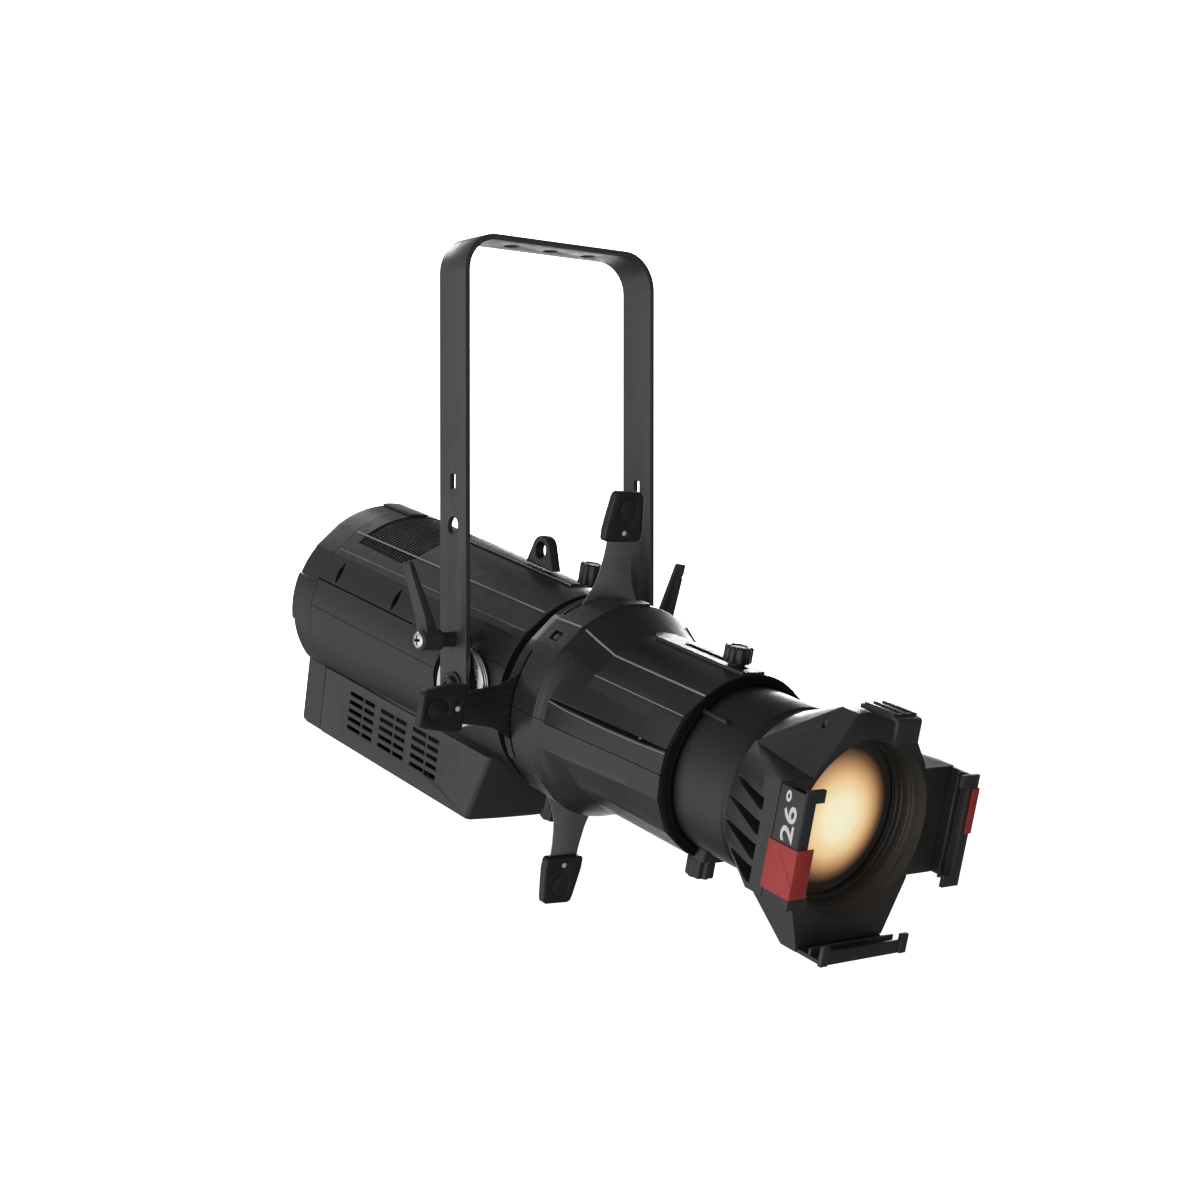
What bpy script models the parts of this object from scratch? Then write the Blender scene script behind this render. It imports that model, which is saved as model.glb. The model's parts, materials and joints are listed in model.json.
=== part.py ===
"""Ellipsoidal spotlight on a hanging yoke, built as separate pieces.

Frames: the world origin is the centre of the yoke's crown hole, on its top face, +Z up.
The lamp body hangs on a tilt axis along X.  Body pieces are modelled in the optic frame:
Y is the optical axis with the lens towards -Y, and the origin is where that axis passes
the yoke.  All lengths are metres.
"""
import math

import bmesh
import bpy
from mathutils import Matrix, Vector

# ---------------------------------------------------------------- driving dimensions
TILT = math.radians(14.26)        # nose-down tilt at rest
PIVOT_DROP = 0.3608               # tilt axis below the yoke's top face
OPTIC_OFFSET = (0.0, 0.0010, 0.0039)  # optic frame's origin from the tilt axis
GAP = 0.0003                      # clearance between pieces that touch

YOKE_WIDTH = 0.1959
STRAP_WIDTH = 0.0359
STRAP_THICK = 0.0048
YOKE_BEND = 0.031
CROWN_HOLE_R = 0.00625
CROWN_HOLE_PITCH = 0.0395
ARM_IN = YOKE_WIDTH / 2 - STRAP_THICK
ARM_OUT = YOKE_WIDTH / 2
PIVOT_HOLE_R = 0.0052
CLAMP_RISE = 0.038                # clamp stud above the tilt axis
CLAMP_HOLE_R = 0.0036

SHELL_FRONT = -0.043
SHELL_REAR = 0.238
CAP_REAR = 0.270
SEAM_HIGH = 0.024
SHELL_WALL = 0.003
BOX_BOTTOM = -0.120
BOX_TOP = -0.0586
BOX_HALF = 0.065

FLANGE_REAR = -0.0523
FLANGE_FRONT = -0.094
BARREL_FRONT = -0.233
BARREL_BORE = 0.0665
GATE_R = 0.038
TUBE_R = 0.0628
TUBE_BORE = 0.0598
HOLDER_REAR = -0.288
HOLDER_FACE = -0.361
CLIP_FRONT = -0.3855
HOLDER_HALF = 0.0855              # outer half-width over the side clips
CLIP_HALF = 0.0395                # half-length of a clip
CLIP_LEDGE = 0.0006               # depth of the ledge a clip stands in

SHUTTER_BLADE = 0.0009
SHUTTER_SLOT = 0.0030
ROUND = 48                        # segments of a large round piece

# name: (colour, roughness, metallic)
FINISHES = {
    "black_paint": ((0.022, 0.022, 0.023), 0.48, 0.0),
    "black_plastic": ((0.028, 0.028, 0.029), 0.42, 0.0),
    "soft_black": ((0.012, 0.012, 0.012), 0.62, 0.0),
    "blade_steel": ((0.16, 0.16, 0.165), 0.38, 0.9),
    "bright_metal": ((0.72, 0.72, 0.73), 0.25, 1.0),
    "aluminium": ((0.60, 0.60, 0.62), 0.35, 1.0),
    "glass": ((0.92, 0.95, 0.96), 0.05, 0.0),
    "circuit": ((0.02, 0.12, 0.05), 0.5, 0.0),
    "red_mark": ((0.45, 0.03, 0.03), 0.45, 0.0),
    "screen": ((0.01, 0.02, 0.05), 0.1, 0.0),
}


def clear_scene():
    for item in list(bpy.data.objects):
        bpy.data.objects.remove(item, do_unlink=True)


def make_finish(name):
    colour, roughness, metallic = FINISHES[name]
    finish = bpy.data.materials.new(name)
    finish.use_nodes = True
    shader = finish.node_tree.nodes["Principled BSDF"]
    shader.inputs["Base Color"].default_value = (*colour, 1.0)
    shader.inputs["Roughness"].default_value = roughness
    shader.inputs["Metallic"].default_value = metallic
    return finish


def make_empty(name, location, parent=None, tilt=0.0):
    empty = bpy.data.objects.new(name, None)
    empty.location = location
    empty.rotation_euler = (tilt, 0.0, 0.0)
    empty.parent = parent
    bpy.context.scene.collection.objects.link(empty)
    return empty


# ---------------------------------------------------------------- modelling helpers
def add_object(name, shape, finish, parent, at=(0, 0, 0), turn=None):
    """Link a bmesh as a named object with its own material."""
    bmesh.ops.remove_doubles(shape, verts=shape.verts, dist=1e-6)
    bmesh.ops.dissolve_degenerate(shape, dist=1e-6, edges=shape.edges)
    bmesh.ops.recalc_face_normals(shape, faces=shape.faces)
    mesh = bpy.data.meshes.new(name)
    shape.to_mesh(mesh)
    shape.free()
    mesh.shade_smooth()
    mesh.set_sharp_from_angle(angle=math.radians(32))
    mesh.materials.append(make_finish(finish))
    item = bpy.data.objects.new(name, mesh)
    item.parent = parent
    item.location = at
    if turn is not None:
        item.rotation_euler = turn
    bpy.context.scene.collection.objects.link(item)
    return item


def add_tool(target, shape, operation="DIFFERENCE"):
    """Cut or join a bmesh into an object with a Boolean modifier."""
    bmesh.ops.recalc_face_normals(shape, faces=shape.faces)
    mesh = bpy.data.meshes.new(target.name + "_tool")
    shape.to_mesh(mesh)
    shape.free()
    tool = bpy.data.objects.new(mesh.name, mesh)
    tool.parent = target.parent
    tool.location = target.location
    tool.rotation_euler = target.rotation_euler
    tool.hide_render = True
    tool.display_type = "WIRE"
    bpy.context.scene.collection.objects.link(tool)
    modifier = target.modifiers.new(mesh.name, "BOOLEAN")
    modifier.operation = operation
    modifier.object = tool
    return tool


def swap(point, axis, height):
    """A 2-D point and a height along an axis, as a 3-D point."""
    u, v = point
    if axis == "X":
        return (height, u, v)
    if axis == "Y":
        return (u, height, v)
    return (u, v, height)


def prism(outline, axis, low, high, shape=None):
    """Extrude an outline along an axis: (y, z) for X, (x, z) for Y, (x, y) for Z."""
    shape = shape or bmesh.new()
    verts = [shape.verts.new(swap(point, axis, low)) for point in outline]
    face = shape.faces.new(verts)
    grown = bmesh.ops.extrude_face_region(shape, geom=[face])
    moved = [item for item in grown["geom"] if isinstance(item, bmesh.types.BMVert)]
    bmesh.ops.translate(shape, verts=moved, vec=Vector(swap((0, 0), axis, high - low)))
    return shape


def block(low, high, shape=None):
    x0, y0, z0 = low
    x1, y1, z1 = high
    return prism([(x0, y0), (x1, y0), (x1, y1), (x0, y1)], "Z", z0, z1, shape)


def circle(radius, count, centre=(0.0, 0.0), start=0.0):
    step = 2 * math.pi / count
    return [(centre[0] + radius * math.cos(start + i * step),
             centre[1] + radius * math.sin(start + i * step)) for i in range(count)]


def rod(axis, radius, low, high, centre=(0.0, 0.0), count=20, shape=None):
    return prism(circle(radius, count, centre), axis, low, high, shape)


def loft(rings, closed=False):
    """Skin rings with equal point counts; closed joins the last ring to the first."""
    shape = bmesh.new()
    loops = [[shape.verts.new(point) for point in ring] for ring in rings]
    pairs = list(zip(loops, loops[1:]))
    if closed:
        pairs.append((loops[-1], loops[0]))
    for lower, upper in pairs:
        for i in range(len(lower)):
            shape.faces.new((lower[i - 1], lower[i], upper[i], upper[i - 1]))
    if not closed:
        shape.faces.new(loops[0])
        shape.faces.new(reversed(loops[-1]))
    return shape


def turned(profile, axis="Y", count=ROUND, closed=True):
    """Spin a profile of (radius, height) points about an axis."""
    shape = bmesh.new()
    verts = []
    for radius, height in profile:
        verts.append(shape.verts.new(swap((radius, 0.0), axis, height)))
    edges = [shape.edges.new(pair) for pair in zip(verts, verts[1:])]
    if closed:
        edges.append(shape.edges.new((verts[-1], verts[0])))
    spin_axis = Vector(swap((0, 0), axis, 1.0))
    bmesh.ops.spin(shape, geom=verts + edges, cent=(0, 0, 0), axis=spin_axis,
                   dvec=(0, 0, 0), angle=2 * math.pi, steps=count, use_merge=True)
    bmesh.ops.remove_doubles(shape, verts=shape.verts, dist=1e-6)
    return shape


def arc(centre, radius, first, last, count):
    """Points of an arc, in degrees, both ends included."""
    points = []
    for i in range(count + 1):
        angle = math.radians(first + (last - first) * i / count)
        points.append((centre[0] + radius * math.cos(angle),
                       centre[1] + radius * math.sin(angle)))
    return points


def mix(a, b, t):
    return a + (b - a) * t


def mix_point(a, b, t):
    return (mix(a[0], b[0], t), mix(a[1], b[1], t))


def mirror_x(points):
    return [(-x, z) for x, z in reversed(points)]


def at_height(ring, y):
    return [(x, y, z) for x, z in ring]


def inward(points, wall):
    """Points moved towards the optical axis by a wall thickness."""
    moved = []
    for x, z in points:
        size = math.hypot(x, z)
        moved.append((x * (size - wall) / size, z * (size - wall) / size))
    return moved


def circle_through(a, b, c):
    """Centre and radius of the circle through three points."""
    d = 2 * (a[0] * (b[1] - c[1]) + b[0] * (c[1] - a[1]) + c[0] * (a[1] - b[1]))
    aa, bb, cc = (p[0] ** 2 + p[1] ** 2 for p in (a, b, c))
    x = (aa * (b[1] - c[1]) + bb * (c[1] - a[1]) + cc * (a[1] - b[1])) / d
    z = (aa * (c[0] - b[0]) + bb * (a[0] - c[0]) + cc * (b[0] - a[0])) / d
    return (x, z), math.hypot(a[0] - x, a[1] - z)


# ---------------------------------------------------------------- the housing's section
# right half of the section at the front and at the rear, from the crown down the side
CROWN = ((0.0, 0.0832), (0.0, 0.0862))
RIDGE = ((0.0476, 0.0676), (0.0540, 0.0679))
SHOULDER = ((0.0648, 0.0528), (0.0696, 0.0521))
FLANK = ((0.0840, -0.0010), (0.0905, -0.0020))
HAUNCH = ((0.0620, -0.0555), (0.0700, -0.0555))


def housing_points(y):
    t = min(1.0, (y - SHELL_FRONT) / (SHELL_REAR - SHELL_FRONT))
    side = min(1.0, (y - SHELL_FRONT) / 0.085)     # the flanks reach full width early
    crown, ridge, shoulder, haunch = (mix_point(p[0], p[1], t)
                                      for p in (CROWN, RIDGE, SHOULDER, HAUNCH))
    return crown, ridge, shoulder, mix_point(FLANK[0], FLANK[1], side), haunch


def crown_arc(y, count=12):
    """From the right ridge over the crown to the left ridge."""
    crown, ridge = housing_points(y)[:2]
    centre, radius = circle_through(ridge, crown, (-ridge[0], ridge[1]))
    angle = math.degrees(math.atan2(ridge[1] - centre[1], ridge[0]))
    return arc(centre, radius, angle, 180 - angle, count)


def flank_arc(y, high, low, count):
    """The right flank between two heights, from the top down."""
    shoulder, flank, haunch = housing_points(y)[2:]
    centre, radius = circle_through(shoulder, flank, haunch)
    first = math.degrees(math.asin((min(high, shoulder[1]) - centre[1]) / radius))
    last = math.degrees(math.asin((max(low, haunch[1]) - centre[1]) / radius))
    return arc(centre, radius, first, last, count)


def shell_ring(outer, wall, y):
    return at_height(outer + list(reversed(inward(outer, wall))), y)


def shell_wall(y):
    """The front of the housing is a thicker casting around the pivots."""
    return 0.0065 if y < 0.075 else SHELL_WALL


def build_upper_shell(parent):
    rings = []
    for y in (SHELL_FRONT, -0.020, 0.042, 0.074, 0.0751, SHELL_REAR):
        flank = flank_arc(y, 1.0, SEAM_HIGH + GAP, 5)
        outer = list(reversed(flank)) + crown_arc(y) + mirror_x(list(reversed(flank)))
        rings.append(shell_ring(outer, shell_wall(y), y))
    shell = add_object("upper_shell", loft(rings), "black_paint", parent)
    window = [(-0.0605, 0.2210), (-0.0605, 0.1520), (-0.0520, 0.1380),
              (0.0520, 0.1380), (0.0605, 0.1520), (0.0605, 0.2210)]
    add_tool(shell, prism(window, "Z", 0.050, 0.100))
    add_tool(shell, pivot_recess())
    return shell


def build_lower_shell(parent):
    """Both flanks below the upper shell and a floor: round in front, flat over the box."""
    rings = []
    for y in (SHELL_FRONT, -0.0255, -0.0248, 0.042, 0.074, 0.0751, SHELL_REAR):
        flank = flank_arc(y, SEAM_HIGH - GAP, -1.0, 9)
        if y < -0.025:
            haunch = flank[-1]
            angle = math.degrees(math.atan2(haunch[1], haunch[0]))
            radius = math.hypot(*haunch)
            floor = arc((0, 0), radius, angle, -180 - angle, 8)[1:-1]
        else:
            floor = [(0.066 * mix(1, -1, i / 6), -0.0580) for i in range(7)]
        outer = flank + floor + mirror_x(flank)
        rings.append(shell_ring(outer, shell_wall(y), y))
    shell = add_object("lower_shell", loft(rings), "black_paint", parent)
    add_tool(shell, pivot_recess())
    return shell


def pivot_recess():
    """Round pockets in both flanks that the friction discs sit in."""
    centre = (-OPTIC_OFFSET[1], -OPTIC_OFFSET[2])
    shape = rod("X", 0.0400, 0.0850, 0.1000, centre, 40)
    return rod("X", 0.0400, -0.1000, -0.0850, centre, 40, shape)


def strip_top(y):
    return housing_points(y)[0][1] + 0.0016


def build_crown_strip(name, low, high, parent):
    rings = []
    for y in (low, high):
        centre, radius = circle_through(*(crown_arc(y, 2)))
        base = radius + GAP
        half = math.degrees(math.asin(0.010 / base))
        under = arc(centre, base, 90 - half, 90 + half, 4)
        rise = strip_top(y)
        rings.append(at_height(under + [(-0.0095, rise), (0.0095, rise)], y))
    return add_object(name, loft(rings), "black_paint", parent)


def build_top_grille(parent):
    """A curved panel with cross slots that fills the window over the fan."""
    rings = []
    for y in (0.1530, 0.2203):
        crown = crown_arc(y)
        shoulder = housing_points(y)[2]
        edge = mix_point(crown[0], shoulder, 0.34)
        outer = inward([edge] + crown + [(-edge[0], edge[1])], 0.0006)
        rings.append(shell_ring(outer, 0.0022, y))
    crown = crown_arc(0.1385)
    low_ring = inward([mix_point(crown[0], crown[1], 0.02)] + crown
                      + [mix_point(crown[-1], crown[-2], 0.02)], 0.0006)
    rings.insert(0, shell_ring(low_ring, 0.0022, 0.1385))
    grille = add_object("top_grille", loft(rings), "soft_black", parent)
    slots = bmesh.new()
    for i in range(11):
        y = 0.1450 + 0.0066 * i
        block((-0.045, y, 0.0560), (0.045, y + 0.0034, 0.100), slots)
    add_tool(grille, slots)
    return grille


def build_safety_eye(parent):
    outline = [(0.0130, strip_top(0.0130) + GAP), (0.0505, strip_top(0.0505) + GAP)]
    outline += arc((0.0330, 0.0990), 0.0112, 20, 160, 8)
    eye = add_object("safety_eye", prism(outline, "X", -0.0047, 0.0047), "black_paint", parent)
    add_tool(eye, rod("X", 0.0075, -0.02, 0.02, (0.0330, 0.0985), 20))
    return eye


def cap_outline(y):
    """Whole outline of the rear cap: the housing's section with the box under it."""
    crown = crown_arc(y)
    high = flank_arc(y, 1.0, 0.022, 4)
    band = flank_arc(y, 0.0218, -0.020, 5)
    proud = 0.0016 * min(1.0, (y - SHELL_REAR) / 0.03)
    band = [(x + proud, z) for x, z in band]
    low = flank_arc(y, -0.0202, -1.0, 4)
    box = [(0.0665, BOX_TOP), (BOX_HALF, BOX_BOTTOM + 0.004), (BOX_HALF - 0.004, BOX_BOTTOM)]
    right = high + band + low + box
    return list(reversed(right)) + crown[1:-1] + mirror_x(list(reversed(right)))


def build_rear_cap(parent):
    front = SHELL_REAR + GAP
    edge = inward(cap_outline(CAP_REAR), 0.0012)
    rings = [at_height(inward(cap_outline(CAP_REAR), 0.0035), 0.2660),
             at_height(inward(cap_outline(front), 0.0030), front),
             at_height(cap_outline(front), front),
             at_height(cap_outline(CAP_REAR), CAP_REAR - 0.0020),
             at_height(edge, CAP_REAR)]
    cap = add_object("rear_cap", loft(rings), "black_paint", parent)
    add_tool(cap, rear_openings())
    return cap


# rear panel and connector places, (x, z) in the optic frame
PANEL_HALF = (0.0450, 0.0270)
PANEL_CENTRE_Z = 0.0200
DISPLAY_HALF = (0.0215, 0.0085)
DISPLAY_Z = 0.0310
BUTTON_Z = 0.0105
BUTTON_XS = (-0.0270, -0.0090, 0.0090, 0.0270)
SOCKET_ROW_Z = -0.0880
POWER_HALF = (0.0150, 0.0115)
POWER_XS = (-0.0420, -0.0060)
DATA_R = 0.0105
DATA_XS = (0.0230, 0.0495)


def rear_openings():
    shape = block((-PANEL_HALF[0] - GAP, 0.26, PANEL_CENTRE_Z - PANEL_HALF[1] - GAP),
                  (PANEL_HALF[0] + GAP, 0.28, PANEL_CENTRE_Z + PANEL_HALF[1] + GAP))
    for x in POWER_XS:
        block((x - POWER_HALF[0] - GAP, 0.26, SOCKET_ROW_Z - POWER_HALF[1] - GAP),
              (x + POWER_HALF[0] + GAP, 0.28, SOCKET_ROW_Z + POWER_HALF[1] + GAP), shape)
    for x in DATA_XS:
        rod("Y", DATA_R + GAP, 0.26, 0.28, (x, SOCKET_ROW_Z), 24, shape)
    for row in range(5):
        z = -0.0210 - 0.0065 * row
        block((-0.0400, 0.26, z), (0.0400, 0.28, z + 0.0032), shape)
    return shape


def build_rear_panel(parent):
    low = (-PANEL_HALF[0], 0.2645, PANEL_CENTRE_Z - PANEL_HALF[1])
    high = (PANEL_HALF[0], 0.2685, PANEL_CENTRE_Z + PANEL_HALF[1])
    panel = add_object("rear_panel", block(low, high), "soft_black", parent)
    cuts = block((-DISPLAY_HALF[0] - GAP, 0.2668, DISPLAY_Z - DISPLAY_HALF[1] - GAP),
                 (DISPLAY_HALF[0] + GAP, 0.28, DISPLAY_Z + DISPLAY_HALF[1] + GAP))
    for x in BUTTON_XS:
        rod("Y", 0.0048, 0.26, 0.28, (x, BUTTON_Z), 20, cuts)
    add_tool(panel, cuts)

    low = (-DISPLAY_HALF[0], 0.2671, DISPLAY_Z - DISPLAY_HALF[1])
    high = (DISPLAY_HALF[0], 0.2682, DISPLAY_Z + DISPLAY_HALF[1])
    add_object("display_window", block(low, high), "screen", parent)
    for index, x in enumerate(BUTTON_XS, 1):
        profile = [(0, -0.0062), (0.0058, -0.0062), (0.0058, -0.0048), (0.0044, -0.0048),
                   (0.0044, 0.0020), (0.0038, 0.0026), (0, 0.0026)]
        add_object(f"menu_button_{index}", turned(profile, "Y", 16, False), "black_plastic",
                   parent, at=(x, 0.2685, BUTTON_Z))


def build_sockets(parent):
    for name, x in zip(("power_inlet", "power_outlet"), POWER_XS):
        low = (x - POWER_HALF[0], 0.2480, SOCKET_ROW_Z - POWER_HALF[1])
        high = (x + POWER_HALF[0], 0.2712, SOCKET_ROW_Z + POWER_HALF[1])
        socket = add_object(name, block(low, high), "soft_black", parent)
        add_tool(socket, rod("Y", 0.0092, 0.2560, 0.28, (x, SOCKET_ROW_Z), 24))
    for name, x in zip(("data_inlet", "data_outlet"), DATA_XS):
        profile = [(0, 0.2480), (DATA_R, 0.2480), (DATA_R, 0.2705), (0.0082, 0.2712),
                   (0.0082, 0.2580), (0, 0.2580)]
        add_object(name, turned(profile, "Y", 24, False), "aluminium", parent,
                   at=(x, 0, SOCKET_ROW_Z))


def build_driver_box(parent):
    """Tray under the housing with slanted front and slotted side walls."""
    def plan(half, front, rear, z, corner=0.003):
        points = [(half, rear), (-half, rear)]
        points += [(-half, front + corner), (-half + corner, front)]
        points += [(-half * 0.5, front - 0.0020), (0, front - 0.0028), (half * 0.5, front - 0.0020)]
        points += [(half - corner, front), (half, front + corner)]
        return [(x, y, z) for x, y in points]

    rear = SHELL_REAR
    wall = 0.0025
    rings = [plan(BOX_HALF - wall, 0.0000 + wall, rear - wall, BOX_BOTTOM + wall),
             plan(0.0665 - wall, -0.0210 + wall, rear - wall, BOX_TOP),
             plan(0.0665, -0.0210, rear, BOX_TOP),
             plan(BOX_HALF, -0.0005, rear, BOX_BOTTOM + 0.003),
             plan(BOX_HALF - 0.003, 0.0010, rear, BOX_BOTTOM)]
    box = add_object("driver_box", loft(rings), "black_paint", parent)
    slots = bmesh.new()
    for group_rear, group_front in ((0.1936, 0.1523), (0.1424, 0.1010), (0.0907, 0.0505)):
        split = mix(group_rear, group_front, 0.56)
        for row in range(5):
            z = -0.0695 - 0.0077 * row
            for y0, y1 in ((group_rear, split + 0.0012), (split - 0.0012, group_front)):
                for side in (-1, 1):
                    x0, x1 = sorted((side * 0.0550, side * 0.0750))
                    block((x0, y1, z - 0.0017), (x1, y0, z + 0.0017), slots)
    add_tool(box, slots)
    return box


# ---------------------------------------------------------------- light engine
def build_light_engine(parent):
    board = [(0, 0.0275), (0.0125, 0.0275), (0.0125, 0.0300), (0.0480, 0.0300),
             (0.0480, 0.0325), (0, 0.0325)]
    add_object("led_board", turned(board, "Y", 32, False), "circuit", parent)
    reflector = [(0.0135, 0.0268), (0.0300, 0.0000), (0.0440, -0.0300), (0.0460, -0.0300),
                 (0.0322, 0.0008), (0.0158, 0.0268)]
    add_object("reflector", turned(reflector, "Y", 32), "bright_metal", parent)
    build_heat_sink(parent)
    build_fan(parent)


def build_heat_sink(parent):
    fins = 22
    outline = []
    for i in range(fins):
        base = 2 * math.pi * i / fins
        tooth = math.pi / fins * 0.42
        reach = min(0.0650, 0.0490 / max(0.001, -math.sin(base)) if math.sin(base) < 0 else 1.0)
        for radius, offset in ((0.0300, -tooth), (reach, -tooth * 0.4),
                               (reach, tooth * 0.4), (0.0300, tooth)):
            outline.append((radius * math.cos(base + offset), radius * math.sin(base + offset)))
    add_object("heat_sink", prism(outline, "Y", 0.0330, 0.1250), "aluminium", parent)


def build_fan(parent):
    radius = 0.0520
    frame = [(radius, 0.1400), (radius + 0.0015, 0.1400), (radius + 0.0015, 0.1640),
             (radius, 0.1640)]
    ring = add_object("fan_frame", turned(frame, "Y", 40), "soft_black", parent)
    struts = rod("Y", 0.0170, 0.1610, 0.1635, (0, 0), 20)
    add_tool(ring, struts, "UNION")
    for angle in (30, 150, 270):
        bar = block((0.0, 0.1612, -0.0025), (radius + 0.0007, 0.1632, 0.0025))
        bmesh.ops.rotate(bar, verts=bar.verts, cent=(0, 0, 0),
                         matrix=Matrix.Rotation(math.radians(angle), 3, "Y"))
        add_tool(ring, bar, "UNION")

    blades = 7
    rings = []
    for y, twist in ((0.1430, 0.0), (0.1510, 0.35), (0.1590, 0.70)):
        ring_points = []
        for i in range(blades):
            base = 2 * math.pi * i / blades + twist
            for size, offset in ((0.0170, 0.0), (0.0490, 0.03), (0.0490, 0.13), (0.0170, 0.22)):
                angle = base + offset
                ring_points.append((size * math.cos(angle), y, size * math.sin(angle)))
        rings.append(ring_points)
    add_object("fan_rotor", loft(rings), "soft_black", parent)


def build_bearing_ring(parent):
    """Front bulkhead of the housing and the collar that the barrel turns on."""
    profile = [(0.0500, -0.0400), (0.0500, -0.0436), (0.0765, -0.0470), (0.0765, -0.0560),
               (0.0800, -0.0560), (0.0800, -0.0434), (0.0750, -0.0434), (0.0750, -0.0400)]
    add_object("bearing_ring", turned(profile), "soft_black", parent)


# ---------------------------------------------------------------- barrel
# places along the axis: flange rear, middle and front, cone start, side and end, where the
# side panels start to close in, and the barrel's front; then radii there, by direction
BARREL_STATIONS = (FLANGE_REAR, -0.0600, FLANGE_FRONT, -0.0965, -0.1100, -0.1280, -0.2000,
                   BARREL_FRONT)
BARREL_ROUND = (0.0840, 0.0852, 0.0873, 0.0862, 0.0800, 0.0725, 0.0725, 0.0725)
BARREL_CORNER = (0.0842, 0.0856, 0.0878, 0.0868, 0.0825, 0.0752, 0.0757, 0.0759)
BARREL_SIDE_EDGE = (0.0840, 0.0850, 0.0872, 0.0871, 0.0874, 0.0858, 0.0788, 0.0765)
BARREL_SIDE = (0.0840, 0.0850, 0.0872, 0.0872, 0.0876, 0.0858, 0.0780, 0.0757)
ROUND_FROM = 52.8
CORNER_AT = 35.0
SIDE_EDGE_AT = 13.0


def barrel_quarter(station):
    """(angle, radius) pairs from the side up to the crown."""
    pairs = [(0.0, BARREL_SIDE[station]), (SIDE_EDGE_AT, BARREL_SIDE_EDGE[station]),
             (CORNER_AT, BARREL_CORNER[station])]
    if BARREL_STATIONS[station] > -0.100:
        blend = [(24.0, BARREL_ROUND[station]), (44.0, BARREL_ROUND[station])]
    else:
        blend = [(24.0, flat_radius(pairs[1], pairs[2], 24.0)),
                 (44.0, flat_radius(pairs[2], (ROUND_FROM, BARREL_ROUND[station]), 44.0))]
    pairs += blend
    steps = 6
    pairs += [(mix(ROUND_FROM, 90.0, i / steps), BARREL_ROUND[station])
              for i in range(steps + 1)]
    return sorted(pairs)


def flat_radius(first, last, angle):
    """Radius at an angle on the straight line between two polar points."""
    a = Vector((first[1] * math.cos(math.radians(first[0])),
                first[1] * math.sin(math.radians(first[0]))))
    b = Vector((last[1] * math.cos(math.radians(last[0])),
                last[1] * math.sin(math.radians(last[0]))))
    ray = Vector((math.cos(math.radians(angle)), math.sin(math.radians(angle))))
    along = b - a
    return (a.x * along.y - a.y * along.x) / (ray.x * along.y - ray.y * along.x)


def barrel_half(station, side):
    """Half section as (x, z), from +X round to -X, above or below mid height."""
    quarter = barrel_quarter(station)
    angles = quarter + [(180.0 - angle, radius) for angle, radius in reversed(quarter[:-1])]
    points = []
    for angle, radius in angles:
        x = radius * math.cos(math.radians(angle))
        z = max(radius * math.sin(math.radians(angle)), GAP)
        points.append((x, side * z))
    return points


def barrel_inner(points, radius):
    moved = []
    for x, z in points:
        size = math.hypot(x, z)
        height = z / size * radius
        if abs(height) < GAP:
            height = math.copysign(GAP, z)
        moved.append((x / size * radius, height))
    return moved


def build_barrel_half(name, side, parent):
    bores = (0.0805, 0.0805, 0.0805, 0.0805, 0.0745, BARREL_BORE, BARREL_BORE, BARREL_BORE)
    rings = []
    for station, y in enumerate(BARREL_STATIONS):
        outer = barrel_half(station, side)
        rings.append(at_height(outer + list(reversed(barrel_inner(outer, bores[station]))), y))
    half = add_object(name, loft(rings), "black_paint", parent)

    # a raised pad along the crown line carries the focus slot
    pad = block((-0.012, -0.2325, min(side * 0.069, side * 0.0737)),
                (0.012, -0.1220, max(side * 0.069, side * 0.0737)))
    add_tool(half, pad, "UNION")
    cuts = block((-0.0036, -0.2250, min(side * 0.060, side * 0.080)),
                 (0.0036, -0.1560, max(side * 0.060, side * 0.080)))
    for direction, y in SHUTTER_PLANES.items():
        y0, y1 = y - SHUTTER_SLOT / 2, y + SHUTTER_SLOT / 2
        if direction in ("top", "bottom") and (direction == "top") == (side > 0):
            block((-0.046, y0, min(side * 0.060, side * 0.099)),
                  (0.046, y1, max(side * 0.060, side * 0.099)), cuts)
        elif direction == "left":
            block((-0.099, y0, -0.044), (-0.060, y1, 0.044), cuts)
        elif direction == "right":
            block((0.060, y0, -0.044), (0.099, y1, 0.044), cuts)
    add_tool(half, cuts)
    return half


SHUTTER_PLANES = {"top": -0.0616, "bottom": -0.0650, "left": -0.0633, "right": -0.0667}
SHUTTER_TURN = {"top": 0.0, "right": 90.0, "bottom": 180.0, "left": 270.0}
SHUTTER_SHIFT = {"top": -0.0012, "right": 0.0, "bottom": 0.0045, "left": -0.0020}
SHUTTER_LEAN = {"top": 0.0, "right": 0.0, "bottom": 2.5, "left": 1.0}


def shutter_matrix(direction):
    """Turns a blade drawn upwards into its own direction and lean."""
    turn = Matrix.Rotation(math.radians(SHUTTER_TURN[direction]), 4, "Y")
    shift = Matrix.Translation((SHUTTER_SHIFT[direction], SHUTTER_PLANES[direction], 0))
    lean = Matrix.Rotation(math.radians(SHUTTER_LEAN[direction]), 4, "Y")
    return turn @ shift @ lean


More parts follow.
